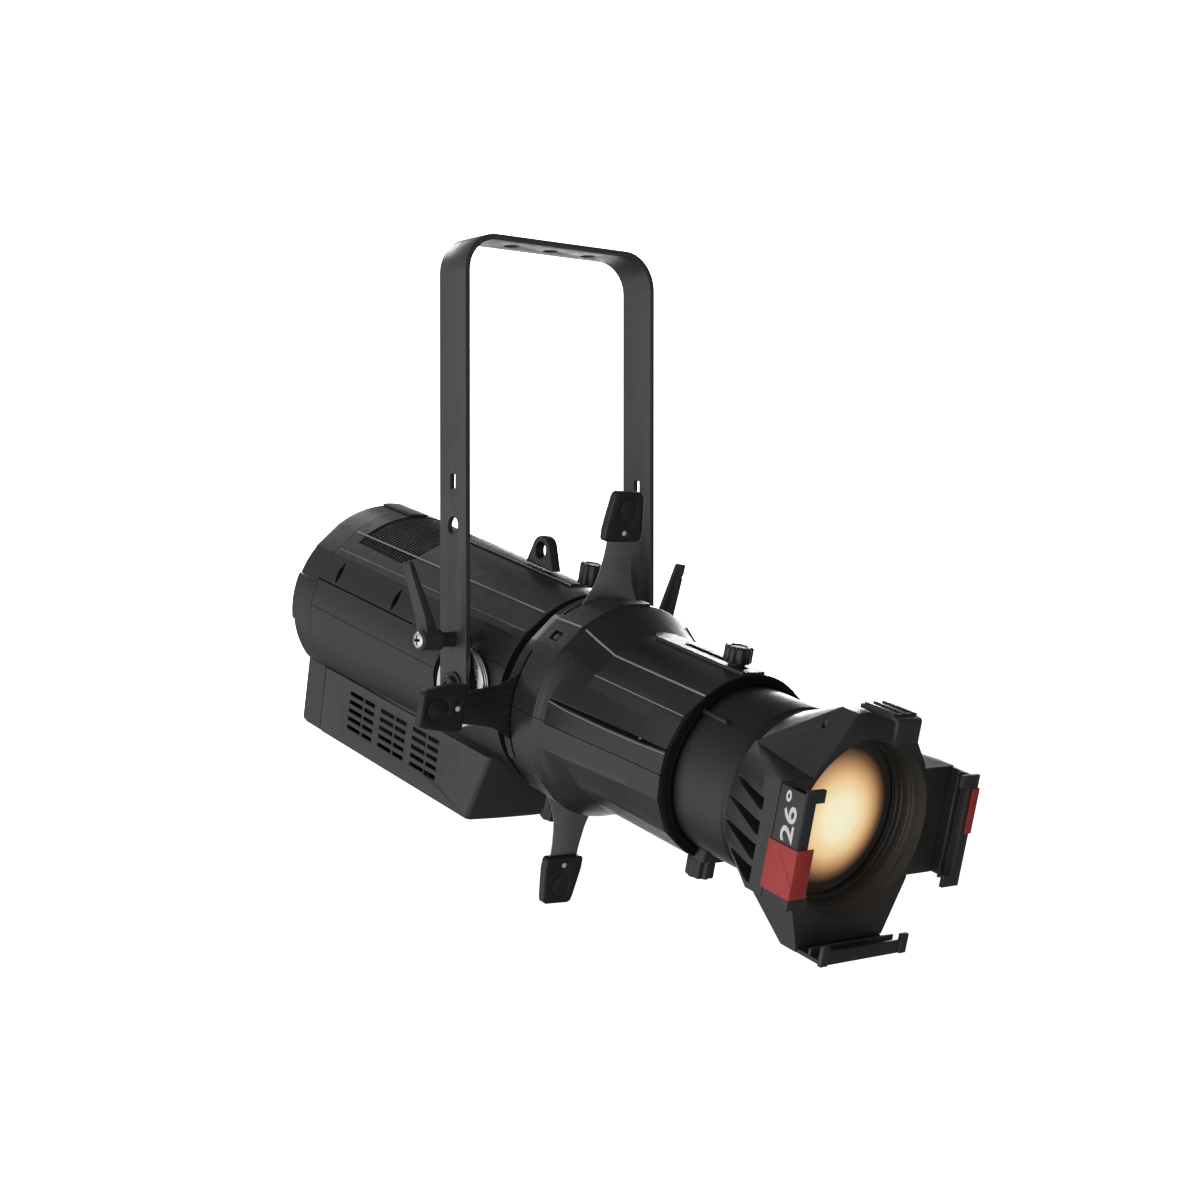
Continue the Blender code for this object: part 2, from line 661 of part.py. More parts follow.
def build_shutter(direction, parent):
    """Steel blade with a waist, and a moulded grip over its outer end."""
    edge = [(0.034, 0.0430), (0.034, 0.0640), (0.0325, 0.0700), (0.0265, 0.0830),
            (0.0205, 0.0930), (0.0168, 0.1030), (0.0150, 0.1140), (0.0138, 0.1260),
            (0.0136, 0.1385)]
    outline = edge + mirror_x(edge)
    half = SHUTTER_BLADE / 2
    matrix = shutter_matrix(direction)
    blade = prism(outline, "Y", -half, half)
    bmesh.ops.transform(blade, matrix=matrix, verts=blade.verts)
    add_object(f"shutter_blade_{direction}", blade, "blade_steel", parent)

    edge = [(0.0150, 0.1310), (0.0188, 0.1330), (0.0190, 0.1400), (0.0178, 0.1500),
            (0.0152, 0.1660), (0.0140, 0.1695), (0.0112, 0.1712)]
    rings = []
    for y, inset in ((-0.0040, 0.0012), (-0.0028, 0.0), (0.0028, 0.0), (0.0040, 0.0012)):
        ring = [(x - inset, z - math.copysign(inset, z - 0.150)) for x, z in edge]
        rings.append(at_height(ring + mirror_x(ring), y))
    grip = loft(rings)
    bmesh.ops.transform(grip, matrix=matrix, verts=grip.verts)
    grip = add_object(f"shutter_grip_{direction}", grip, "black_plastic", parent)
    pocket = block((-0.0139, -half - GAP, 0.1200), (0.0139, half + GAP, 0.1388))
    dent = 0.0090
    for side in (-1, 1):
        low, high = sorted((side * 0.0034, side * 0.0060))
        oval = [(x, z * 1.15 + 0.1560) for x, z in circle(dent, 14)]
        prism(oval, "Y", low, high, pocket)
    bmesh.ops.transform(pocket, matrix=matrix, verts=pocket.verts)
    add_tool(grip, pocket)


def build_barrel(parent):
    build_barrel_half("barrel_upper", 1, parent)
    build_barrel_half("barrel_lower", -1, parent)
    collar = [(0.0635, -0.2334), (0.0718, -0.2334), (0.0716, -0.2395), (0.0702, -0.2406),
              (0.0635, -0.2406)]
    add_object("barrel_collar", turned(collar), "soft_black", parent)
    gate = [(GATE_R, -0.0570), (0.0800, -0.0570), (0.0800, -0.0588), (GATE_R, -0.0588)]
    add_object("gate_plate", turned(gate, "Y", 36), "soft_black", parent)
    for direction in SHUTTER_PLANES:
        build_shutter(direction, parent)


# ---------------------------------------------------------------- lens tube and holder
def build_lens_tube(parent):
    rear, front = -0.1260, -0.3420
    lip_bore, lip_rear, lip_front = 0.0555, -0.3333, -0.3400    # keeps the front lens in
    profile = [(TUBE_BORE, rear), (TUBE_BORE, lip_rear), (lip_bore, lip_rear),
               (lip_bore, lip_front), (TUBE_BORE, lip_front), (TUBE_BORE, front),
               (TUBE_R, front), (TUBE_R, rear)]
    add_object("lens_tube", turned(profile), "black_plastic", parent)
    add_object("rear_lens", turned([(0, -0.2480), (0.0590, -0.2560), (0.0590, -0.2600),
                                    (0, -0.2640)], "Y", 40, False), "glass", parent)
    add_object("front_lens", turned([(0, -0.3180), (0.0590, -0.3260), (0.0590, -0.3320),
                                     (0.0300, -0.3385), (0, -0.3405)], "Y", 48, False),
               "glass", parent)


HOLDER_RIGHT = [(0.0240, 0.0840), (0.0545, 0.0420), (0.0580, 0.0400), (HOLDER_HALF, 0.0400),
                (HOLDER_HALF, -0.0400), (0.0575, -0.0420), (0.0420, -0.0600),
                (0.0412, -0.0864)]


def polar_radius(corners, angle):
    """Distance from the axis to a closed outline along an angle."""
    ray = Vector((math.cos(angle), math.sin(angle)))
    best = 0.0
    for (ax, az), (bx, bz) in zip(corners, corners[1:] + corners[:1]):
        along = Vector((bx - ax, bz - az))
        cross = ray.x * along.y - ray.y * along.x
        if abs(cross) < 1e-12:
            continue
        distance = (ax * along.y - az * along.x) / cross
        share = (ax * ray.y - az * ray.x) / cross
        if distance > 0 and -1e-9 <= share <= 1 + 1e-9:
            best = max(best, distance)
    return best


def build_gel_holder(parent):
    corners = HOLDER_RIGHT + mirror_x(HOLDER_RIGHT)
    angles = [2 * math.pi * i / 48 for i in range(48)]
    angles += [math.atan2(z, x) % (2 * math.pi) for x, z in corners]
    angles = sorted(set(round(angle, 5) for angle in angles))
    angles = [a for a, b in zip(angles, angles[1:] + [9.0]) if b - a > 0.012]

    def outline(y, limit):
        ring = []
        for angle in angles:
            radius = min(polar_radius(corners, angle), limit)
            ring.append((radius * math.cos(angle), y, radius * math.sin(angle)))
        return ring

    def bore(y, radius):
        return [(radius * math.cos(angle), y, radius * math.sin(angle)) for angle in angles]

    sleeve = TUBE_R + GAP
    rings = [outline(HOLDER_REAR, 0.0648), outline(-0.2970, 0.0694), outline(-0.3160, 0.0762),
             outline(-0.3450, 1.0), outline(HOLDER_FACE, 1.0),
             bore(HOLDER_FACE, 0.0650), bore(-0.3550, 0.0638), bore(-0.3550, 0.0610),
             bore(-0.3423, 0.0600), bore(-0.3423, sleeve), bore(HOLDER_REAR, sleeve)]
    holder = add_object("gel_holder", loft(rings, closed=True), "black_plastic", parent)

    add_tool(holder, fin_pockets())
    add_tool(holder, clip_recesses())


def clip_recesses():
    """Shallow ledges in the holder's face that the three clips stand in."""
    low, high = HOLDER_FACE - 0.0010, HOLDER_FACE + CLIP_LEDGE
    shape = block((0.0818, low, -0.0406), (0.0900, high, 0.0406))
    block((-0.0900, low, -0.0406), (-0.0818, high, 0.0406), shape)
    return block((-0.0440, low, -0.0900), (0.0440, high, -0.0826), shape)


def clip_outline():
    """Section of a clip as (depth from the outer face, y): a wall with two frame slots."""
    root, front = HOLDER_FACE + CLIP_LEDGE - GAP, CLIP_FRONT
    return [(0.0, root), (0.0, front), (0.0095, front), (0.0095, front + 0.0025),
            (0.0030, front + 0.0025), (0.0030, front + 0.0120), (0.0080, front + 0.0120),
            (0.0080, front + 0.0140), (0.0030, front + 0.0140), (0.0030, root)]


def build_frame_clips(parent):
    """Three clips in front of the holder's face that hold colour frames."""
    face = HOLDER_HALF - 0.0002
    for name, side in (("left", -1), ("right", 1)):
        outline = [(side * (face - depth), y) for depth, y in clip_outline()]
        clip = add_object(f"frame_clip_{name}", prism(outline, "Z", -CLIP_HALF, CLIP_HALF),
                          "black_plastic", parent)
        for low in (-0.0415, 0.0325):
            x0, x1 = sorted((side * 0.0680, side * face))
            add_tool(clip, block((x0, CLIP_FRONT, low), (x1, CLIP_FRONT + 0.003, low + 0.009)),
                     "UNION")
        if name == "left":
            label = block((-HOLDER_HALF - 0.0006, -0.3850, 0.0014), (-face + 0.001, -0.3620, 0.0392))
            add_tool(clip, label, "UNION")

    outline = [(y, -0.0862 + depth) for depth, y in clip_outline()]
    clip = add_object("frame_clip_bottom", prism(outline, "X", -0.0412, 0.0412),
                      "black_plastic", parent)
    for low in (-0.0424, 0.0354):
        add_tool(clip, block((low, CLIP_FRONT - 0.0004, -0.0868),
                             (low + 0.0070, CLIP_FRONT + 0.0030, -0.0725)), "UNION")


def fin_pockets():
    """Tapered pockets between the fins on both cheeks of the holder."""
    shape = bmesh.new()
    for side in (-1, 1):
        for height, span in ((0.0190, 0.0075), (0.0030, 0.0085), (-0.0130, 0.0100),
                             (-0.0290, 0.0110)):
            near = [(side * 0.0660, -0.3480, height + span / 2),
                    (side * 0.0660, -0.3480, height - span / 2),
                    (side * 0.0900, -0.3480, height - span / 2),
                    (side * 0.0900, -0.3480, height + span / 2)]
            far = [(side * 0.0640, -0.2920, height + 0.0006),
                   (side * 0.0640, -0.2920, height - 0.0006),
                   (side * 0.0900, -0.2920, height - 0.0006),
                   (side * 0.0900, -0.2920, height + 0.0006)]
            low = [shape.verts.new(point) for point in near]
            high = [shape.verts.new(point) for point in far]
            for i in range(4):
                shape.faces.new((low[i - 1], low[i], high[i], high[i - 1]))
            shape.faces.new(low)
            shape.faces.new(reversed(high))
    return shape


def build_gel_latch(parent):
    """Sprung top latch: a ribbed plate with a hook down the front."""
    outline = [(-0.3500, 0.0843), (-0.3828, 0.0843), (-0.3828, 0.0690), (-0.3858, 0.0690),
               (-0.3858, 0.0858), (-0.3840, 0.0868), (-0.3500, 0.0882)]
    latch = add_object("gel_latch", prism(outline, "X", -0.0118, 0.0118), "black_plastic", parent)
    ribs = bmesh.new()
    for x in (-0.0095, -0.0010, 0.0075):
        block((x, -0.3800, 0.0860), (x + 0.0020, -0.3510, 0.0892), ribs)
    add_tool(latch, ribs, "UNION")


def build_marks(parent):
    """Red tags folded round the front edges of the side clips."""
    face = HOLDER_HALF + GAP
    for name, side, low, high, depth in (("red_tag_left", -1, -0.0335, 0.0010, 0.0150),
                                         ("red_tag_right", 1, -0.0020, 0.0318, 0.0065)):
        lip = CLIP_FRONT - GAP
        outline = [(face, -0.3592), (face + 0.0006, -0.3592), (face + 0.0006, lip - 0.0008),
                   (face - depth, lip - 0.0008), (face - depth, lip), (face, lip)]
        outline = [(side * x, y) for x, y in outline]
        add_object(name, prism(outline, "Z", low, high), "red_mark", parent)


# ---------------------------------------------------------------- knobs and levers
def fluted(radius, lobes, points):
    """Outline of a fluted grip."""
    count = lobes * points
    ring = []
    for i in range(count):
        angle = 2 * math.pi * i / count
        size = radius * (1 + 0.055 * math.cos(lobes * angle))
        ring.append((size * math.cos(angle), size * math.sin(angle)))
    return ring


def build_knob(name, parent, y, low, high, radius, side, stem=0.0):
    """Fluted thumb knob about a radial axis, above (side 1) or below (side -1)."""
    outline = fluted(radius, 9, 3)
    neck = circle(radius * 0.55, len(outline))
    rings = [[(x, v, low) for x, v in neck], [(x, v, low + 0.0022) for x, v in neck],
             [(x, v, low + 0.0022) for x, v in outline],
             [(x, v, high - 0.0012) for x, v in outline],
             [(x * 0.9, v * 0.9, high) for x, v in outline]]
    if stem > 0:
        thread = circle(0.0030, len(outline))
        rings = [[(x, v, stem) for x, v in thread], [(x, v, low) for x, v in thread]] + rings
    shape = loft(rings)
    if side < 0:
        bmesh.ops.rotate(shape, verts=shape.verts, cent=(0, 0, 0),
                         matrix=Matrix.Rotation(math.pi, 3, "Y"))
    return add_object(name, shape, "black_plastic", parent, at=(0, y, 0))


LEVER_LEAN = {"left": math.radians(-11.0), "right": math.radians(12.0)}


def build_lever(name, side, parent):
    """Clamp lever on an arm: hub, leaning bar, and the bolt through both."""
    inner = ARM_OUT + GAP
    bore = 0.0034
    hub = [(bore, inner), (0.0055, inner), (0.0055, 0.1105), (0.0086, 0.1135),
           (0.0086, 0.1285), (0.0074, 0.1298), (bore, 0.1298)]
    at = (0, 0, CLAMP_RISE)
    flip = (0, 0, math.pi if side < 0 else 0)
    lean = LEVER_LEAN[name]
    lever = add_object(f"tilt_lever_{name}", turned(hub, "X", 24), "black_plastic",
                       parent, at=at)
    rings = []
    for z, middle, thick, width in ((0.0045, 0.1205, 0.0150, 0.0150),
                                    (0.0200, 0.1235, 0.0105, 0.0135),
                                    (0.0450, 0.1290, 0.0080, 0.0108),
                                    (0.0615, 0.1325, 0.0062, 0.0092)):
        x, y = thick / 2, width / 2
        ring = [(x, y), (x, -y), (-x, -y), (-x, y)]
        rings.append([(side * (middle + u), v, z) for u, v in ring])
    bar = loft(rings)
    bmesh.ops.rotate(bar, verts=bar.verts, cent=(0, 0, 0), matrix=Matrix.Rotation(lean, 3, "X"))
    if side < 0:
        lever.data.transform(Matrix.Scale(-1, 4, (1, 0, 0)))
        lever.data.flip_normals()
    add_tool(lever, bar, "UNION")

    bolt = [(0, 0.0919), (0.0080, 0.0919), (0.0080, ARM_IN - GAP), (0.0031, ARM_IN - GAP),
            (0.0031, 0.1301), (0.0068, 0.1301), (0.0068, 0.1310), (0.0050, 0.1321), (0, 0.1324)]
    add_object(f"lever_bolt_{name}", turned(bolt, "X", 16, False), "bright_metal", parent,
               at=at, turn=flip)


# ---------------------------------------------------------------- yoke
def build_yoke(parent):
    """Bent strap: crown with three holes, arms with a slot, holes and rounded feet."""
    half, top, foot = YOKE_WIDTH / 2, PIVOT_DROP, -STRAP_WIDTH / 2
    outer = arc((half - YOKE_BEND, top - YOKE_BEND), YOKE_BEND, 0, 90, 8)
    inner_r = YOKE_BEND - STRAP_THICK
    inner = arc((half - YOKE_BEND, top - YOKE_BEND), inner_r, 0, 90, 8)
    outer = [(half, foot)] + outer
    inner = [(half - STRAP_THICK, foot)] + inner
    outline = outer + mirror_x(outer) + list(reversed(inner + mirror_x(inner)))
    strap = prism(outline, "Y", -STRAP_WIDTH / 2, STRAP_WIDTH / 2)
    yoke = add_object("yoke_bracket", strap, "black_paint", parent)

    cuts = rod("X", PIVOT_HOLE_R, -0.12, 0.12, (0, 0), 20)
    rod("X", CLAMP_HOLE_R, -0.12, 0.12, (0, CLAMP_RISE), 16, cuts)
    rod("X", 0.0070, -0.12, 0.12, (0, 0.1285), 20, cuts)
    block((-0.12, -0.0035, 0.1578), (0.12, 0.0035, 0.1698), cuts)
    for x in (-CROWN_HOLE_PITCH, 0, CROWN_HOLE_PITCH):
        rod("Z", CROWN_HOLE_R, 0.340, 0.380, (x, 0), 24, cuts)
    add_tool(yoke, cuts)
    round_foot = arc((0, 0), STRAP_WIDTH / 2, 180, 360, 12)
    spare = STRAP_WIDTH / 2 + 0.004
    feet = round_foot + [(spare, 0), (spare, -spare), (-spare, -spare), (-spare, 0)]
    add_tool(yoke, prism(feet, "X", -0.12, 0.12))
    return yoke


def build_pivots(yoke, tilt):
    for name, side in (("left", -1), ("right", 1)):
        flip = (0, 0, math.pi if side < 0 else 0)
        bolt = [(0, 0.0862), (0.0048, 0.0862), (0.0048, ARM_OUT + GAP), (0.0125, ARM_OUT + GAP),
                (0.0125, ARM_OUT + 0.0016), (0.0092, ARM_OUT + 0.0018),
                (0.0090, ARM_OUT + 0.0050), (0.0070, ARM_OUT + 0.0062), (0, ARM_OUT + 0.0066)]
        add_object(f"pivot_bolt_{name}", turned(bolt, "X", 20, False), "bright_metal", yoke,
                   turn=flip)
        pad = [(0.0053, 0.0919), (0.0230, 0.0919), (0.0230, ARM_IN - GAP),
               (0.0053, ARM_IN - GAP)]
        add_object(f"friction_pad_{name}", turned(pad, "X", 28), "soft_black", yoke, turn=flip)
        disc = [(0.0053, 0.0853), (0.0323, 0.0853), (0.0323, 0.0915), (0.0053, 0.0915)]
        add_object(f"friction_disc_{name}", turned(disc, "X", 40), "aluminium", tilt, turn=flip)


def main():
    clear_scene()
    yoke = make_empty("yoke_frame", (0, 0, -PIVOT_DROP))
    tilt = make_empty("tilt_axis", (0, 0, -PIVOT_DROP), tilt=TILT)
    optic = make_empty("optic_frame", OPTIC_OFFSET, tilt)

    build_yoke(yoke)
    build_pivots(yoke, tilt)
    build_lever("left", -1, yoke)
    build_lever("right", 1, yoke)

    build_upper_shell(optic)
    build_lower_shell(optic)
    build_driver_box(optic)
    build_crown_strip("crown_strip", -0.0200, 0.1365, optic)
    build_top_grille(optic)
    build_safety_eye(optic)
    build_rear_cap(optic)
    build_rear_panel(optic)
    build_sockets(optic)
    build_light_engine(optic)
    build_bearing_ring(optic)
    build_knob("lock_knob_top", optic, -0.0315, 0.0864, 0.1055, 0.0100, 1)
    build_knob("lock_knob_bottom", optic, -0.0315, 0.0864, 0.1120, 0.0100, -1)

    build_barrel(optic)
    build_lens_tube(optic)
    build_gel_holder(optic)
    build_frame_clips(optic)
    build_gel_latch(optic)
    build_marks(optic)
    build_knob("focus_knob_top", optic, -0.2130, 0.0741, 0.0885, 0.0105, 1, TUBE_R + GAP)
    build_knob("focus_knob_bottom", optic, -0.2130, 0.0741, 0.0915, 0.0105, -1, TUBE_R + GAP)


main()
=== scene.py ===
"""Looks for the ellipsoidal spotlight: detailed pieces, materials, light and camera."""

import json
import math

import bmesh
import bpy
from mathutils import Matrix, Vector


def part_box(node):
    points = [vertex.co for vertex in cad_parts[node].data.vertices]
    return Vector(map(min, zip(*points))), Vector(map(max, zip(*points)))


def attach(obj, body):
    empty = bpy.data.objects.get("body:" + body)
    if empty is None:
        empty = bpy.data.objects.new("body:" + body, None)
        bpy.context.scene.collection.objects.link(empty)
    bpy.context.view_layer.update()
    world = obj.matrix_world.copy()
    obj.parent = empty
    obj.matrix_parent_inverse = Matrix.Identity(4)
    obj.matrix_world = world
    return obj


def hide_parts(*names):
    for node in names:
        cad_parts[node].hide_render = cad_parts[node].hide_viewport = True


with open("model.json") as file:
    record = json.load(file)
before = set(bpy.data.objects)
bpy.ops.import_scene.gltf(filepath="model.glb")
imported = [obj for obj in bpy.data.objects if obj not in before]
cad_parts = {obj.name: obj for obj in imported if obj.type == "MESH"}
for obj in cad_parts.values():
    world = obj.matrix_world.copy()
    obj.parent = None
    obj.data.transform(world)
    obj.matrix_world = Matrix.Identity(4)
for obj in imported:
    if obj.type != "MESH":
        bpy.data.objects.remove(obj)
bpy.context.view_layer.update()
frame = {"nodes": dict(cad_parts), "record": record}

# ---------------------------------------------------------------- places, in metres
# Pieces of the lamp are drawn round its optical axis: y along it, the lens at negative y.
TILT = math.radians(14.26)             # how far the nose hangs down at rest
PIVOT_DROP = 0.3608                    # from the top of the yoke's crown to the tilt axis
OPTIC_Y, OPTIC_Z = 0.0010, 0.0039      # origin of the optical axis above the tilt axis
OPTIC = (Matrix.Translation((0, 0, -PIVOT_DROP)) @ Matrix.Rotation(TILT, 4, "X")
         @ Matrix.Translation((0.0, OPTIC_Y, OPTIC_Z)))
YOKE = Matrix.Translation((0, 0, -PIVOT_DROP))
WORLD = Matrix.Identity(4)
GAP = 0.0003                           # clearance between pieces that touch

ARM_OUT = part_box("yoke_bracket")[1].x  # outer face of the yoke's arms
STRAP_THICK = 0.0048
ARM_IN = ARM_OUT - STRAP_THICK
STRAP_HALF = 0.01795                   # half the width of the yoke's strap
LEVER_RISE = 0.038                     # tilt levers above the tilt axis

LOCK_Y, FOCUS_Y = -0.0315, -0.2130     # knobs along the optical axis
TUBE_R, TUBE_BORE = 0.0646, 0.0598     # focus tube
HOLDER_FACE = -0.3610                  # front of the colour-frame holder, behind its clips
POCKETS_AT = (43.6, 136.4)             # screw pockets round the barrel's flange, in degrees

# Shutters: (place along the axis, turn round it, shift and lean of the blade as it stands)
SHUTTERS = {"top": (-0.0616, 0.0, -0.0012, 0.0), "right": (-0.0667, 90.0, 0.0, 0.0),
            "bottom": (-0.0650, 180.0, 0.0045, 2.5), "left": (-0.0633, 270.0, -0.0020, 1.0)}
BLADE_HALF, SLOT_HALF = 0.00045, 0.0015


# ---------------------------------------------------------------- node helpers
class Nodes:
    """Short way to add and link shader nodes."""

    def __init__(self, tree):
        self.tree = tree

    def add(self, kind, **values):
        node = self.tree.nodes.new(kind)
        for key, value in values.items():
            if hasattr(node, key):
                setattr(node, key, value)
            else:
                node.inputs[key.replace("_", " ").capitalize()].default_value = value
        return node

    def link(self, source, output, target, name):
        self.tree.links.new(source.outputs[output], target.inputs[name])

    def calc(self, operation, source, output, value):
        """Math node between an output and a number."""
        node = self.add("ShaderNodeMath", operation=operation)
        self.link(source, output, node, 0)
        node.inputs[1].default_value = value
        return node


def new_material(name):
    material = bpy.data.materials.new(name)
    material.use_nodes = True
    nodes = Nodes(material.node_tree)
    shader = material.node_tree.nodes["Principled BSDF"]
    return material, nodes, shader


def noise(nodes, coords, scale, detail=2.0, stretch=None):
    """Noise in object coordinates; stretch squeezes it along an axis for brushed marks."""
    source, output = coords, "Object"
    if stretch is not None:
        mapping = nodes.add("ShaderNodeMapping")
        mapping.inputs["Scale"].default_value = stretch
        nodes.link(coords, "Object", mapping, "Vector")
        source, output = mapping, "Vector"
    texture = nodes.add("ShaderNodeTexNoise")
    texture.inputs["Scale"].default_value = scale
    texture.inputs["Detail"].default_value = detail
    nodes.link(source, output, texture, "Vector")
    return texture


def ramp(nodes, source, output, stops):
    """Colour ramp; each stop is (position, (r, g, b)) or (position, grey)."""
    node = nodes.add("ShaderNodeValToRGB")
    elements = node.color_ramp.elements
    while len(elements) < len(stops):
        elements.new(0.5)
    for element, (position, colour) in zip(elements, stops):
        if not isinstance(colour, tuple):
            colour = (colour, colour, colour)
        element.position = position
        element.color = (*colour, 1.0)
    nodes.link(source, output, node, "Fac")
    return node


def add_bump(nodes, shader, source, strength, distance):
    lump = nodes.add("ShaderNodeBump")
    lump.inputs["Strength"].default_value = strength
    lump.inputs["Distance"].default_value = distance
    nodes.link(source, "Fac", lump, "Height")
    nodes.link(lump, "Normal", shader, "Normal")


def coated(name, colour, roughness, grain=1300.0, bump=0.10, spread=0.12, wear_and_highlight=0.5,
           specular=0.5):
    """Powder coat or moulded plastic: fine grain, uneven gloss, and paler sharp edges that stand
    partly for wear and partly for painted edge highlights.
    """
    material, nodes, shader = new_material(name)
    coords = nodes.add("ShaderNodeTexCoord")
    cloud = noise(nodes, coords, 28.0, 4.0)
    dark = tuple(c * (1 - spread) for c in colour)
    light = tuple(c * (1 + spread) for c in colour)
    body = ramp(nodes, cloud, "Fac", [(0.30, dark), (0.72, light)])
    geometry = nodes.add("ShaderNodeNewGeometry")
    # Pointiness mask: sharp convex edges turn paler, partly wear and partly painted edge
    # highlight.
    edge = ramp(nodes, geometry, "Pointiness", [(0.510, 0.0), (0.62, wear_and_highlight)])
    blend = nodes.add("ShaderNodeMix", data_type="RGBA")
    nodes.link(edge, "Color", blend, 0)
    nodes.link(body, "Color", blend, 6)
    blend.inputs[7].default_value = (*(min(1.0, c * 1.8 + 0.008) for c in colour), 1.0)
    nodes.link(blend, 2, shader, "Base Color")
    gloss = noise(nodes, coords, 160.0, 3.0)
    rough = ramp(nodes, gloss, "Fac", [(0.3, roughness - 0.05), (0.7, roughness + 0.06)])
    nodes.link(rough, "Color", shader, "Roughness")
    add_bump(nodes, shader, noise(nodes, coords, grain, 1.0), bump, 0.00004)
    shader.inputs["Specular IOR Level"].default_value = specular
    return material


def metal(name, colour, roughness, stretch):
    """Brushed or turned metal: fine lines squeezed along one axis."""
    marks = 0.06                       # how far the lines shift the roughness
    material, nodes, shader = new_material(name)
    coords = nodes.add("ShaderNodeTexCoord")
    lines = noise(nodes, coords, 60.0, 3.0, stretch)
    tint = ramp(nodes, lines, "Fac", [(0.25, tuple(c * 0.84 for c in colour)),
                                      (0.75, tuple(min(1, c * 1.12) for c in colour))])
    nodes.link(tint, "Color", shader, "Base Color")
    rough = ramp(nodes, lines, "Fac", [(0.3, roughness - marks), (0.7, roughness + marks)])
    nodes.link(rough, "Color", shader, "Roughness")
    add_bump(nodes, shader, lines, 0.10, 0.0001)
    shader.inputs["Metallic"].default_value = 1.0
    return material


GLOW_REACH = 0.0560                    # radius at which the warm disc has faded out


def glowing(name, centre, strength):
    """Lens glass with a painted warm glow: emission from the glass itself, paling toward the axis,
    standing for the lit inside seen through it.
    """
    material, nodes, shader = new_material(name)
    coords = nodes.add("ShaderNodeTexCoord")
    reach = nodes.add("ShaderNodeVectorMath", operation="DISTANCE")
    nodes.link(coords, "Object", reach, 0)
    reach.inputs[1].default_value = centre
    scaled = nodes.calc("MULTIPLY", reach, "Value", 1 / GLOW_REACH)
    # Warm ramp that drives the glass's own emission: a painted glow.
    tint = ramp(nodes, scaled, 0, [(0.0, (1.0, 0.96, 0.72)), (0.28, (1.0, 0.90, 0.58)),
                                   (0.50, (0.92, 0.64, 0.32)), (0.68, (0.52, 0.28, 0.12)),
                                   (0.80, (0.17, 0.085, 0.040)), (0.90, (0.012, 0.010, 0.008))])
    nodes.link(tint, "Color", shader, "Emission Color")
    haze = noise(nodes, coords, 34.0, 2.0)
    body = ramp(nodes, haze, "Fac", [(0.3, (0.016, 0.015, 0.014)), (0.7, (0.030, 0.028, 0.026))])
    nodes.link(body, "Color", shader, "Base Color")
    shader.inputs["Emission Strength"].default_value = strength
    shader.inputs["Roughness"].default_value = 0.04
    shader.inputs["Coat Weight"].default_value = 0.6
    shader.inputs["Coat Roughness"].default_value = 0.02
    return material


def screen_glass():
    """Dark display window with faint rows of pale dots."""
    material, nodes, shader = new_material("screen_glass")
    coords = nodes.add("ShaderNodeTexCoord")
    rows = nodes.add("ShaderNodeTexWave", bands_direction="Z")
    nodes.link(coords, "Object", rows, "Vector")
    rows.inputs["Scale"].default_value = 90.0
    tint = ramp(nodes, rows, "Fac", [(0.55, (0.006, 0.010, 0.016)), (0.95, (0.020, 0.045, 0.070))])
    nodes.link(tint, "Color", shader, "Base Color")
    shader.inputs["Roughness"].default_value = 0.08
    return material


FRONT_GLOW = OPTIC @ Vector((0.0, -0.3400, 0.0))
REAR_GLOW = OPTIC @ Vector((0.0, -0.2600, 0.0))

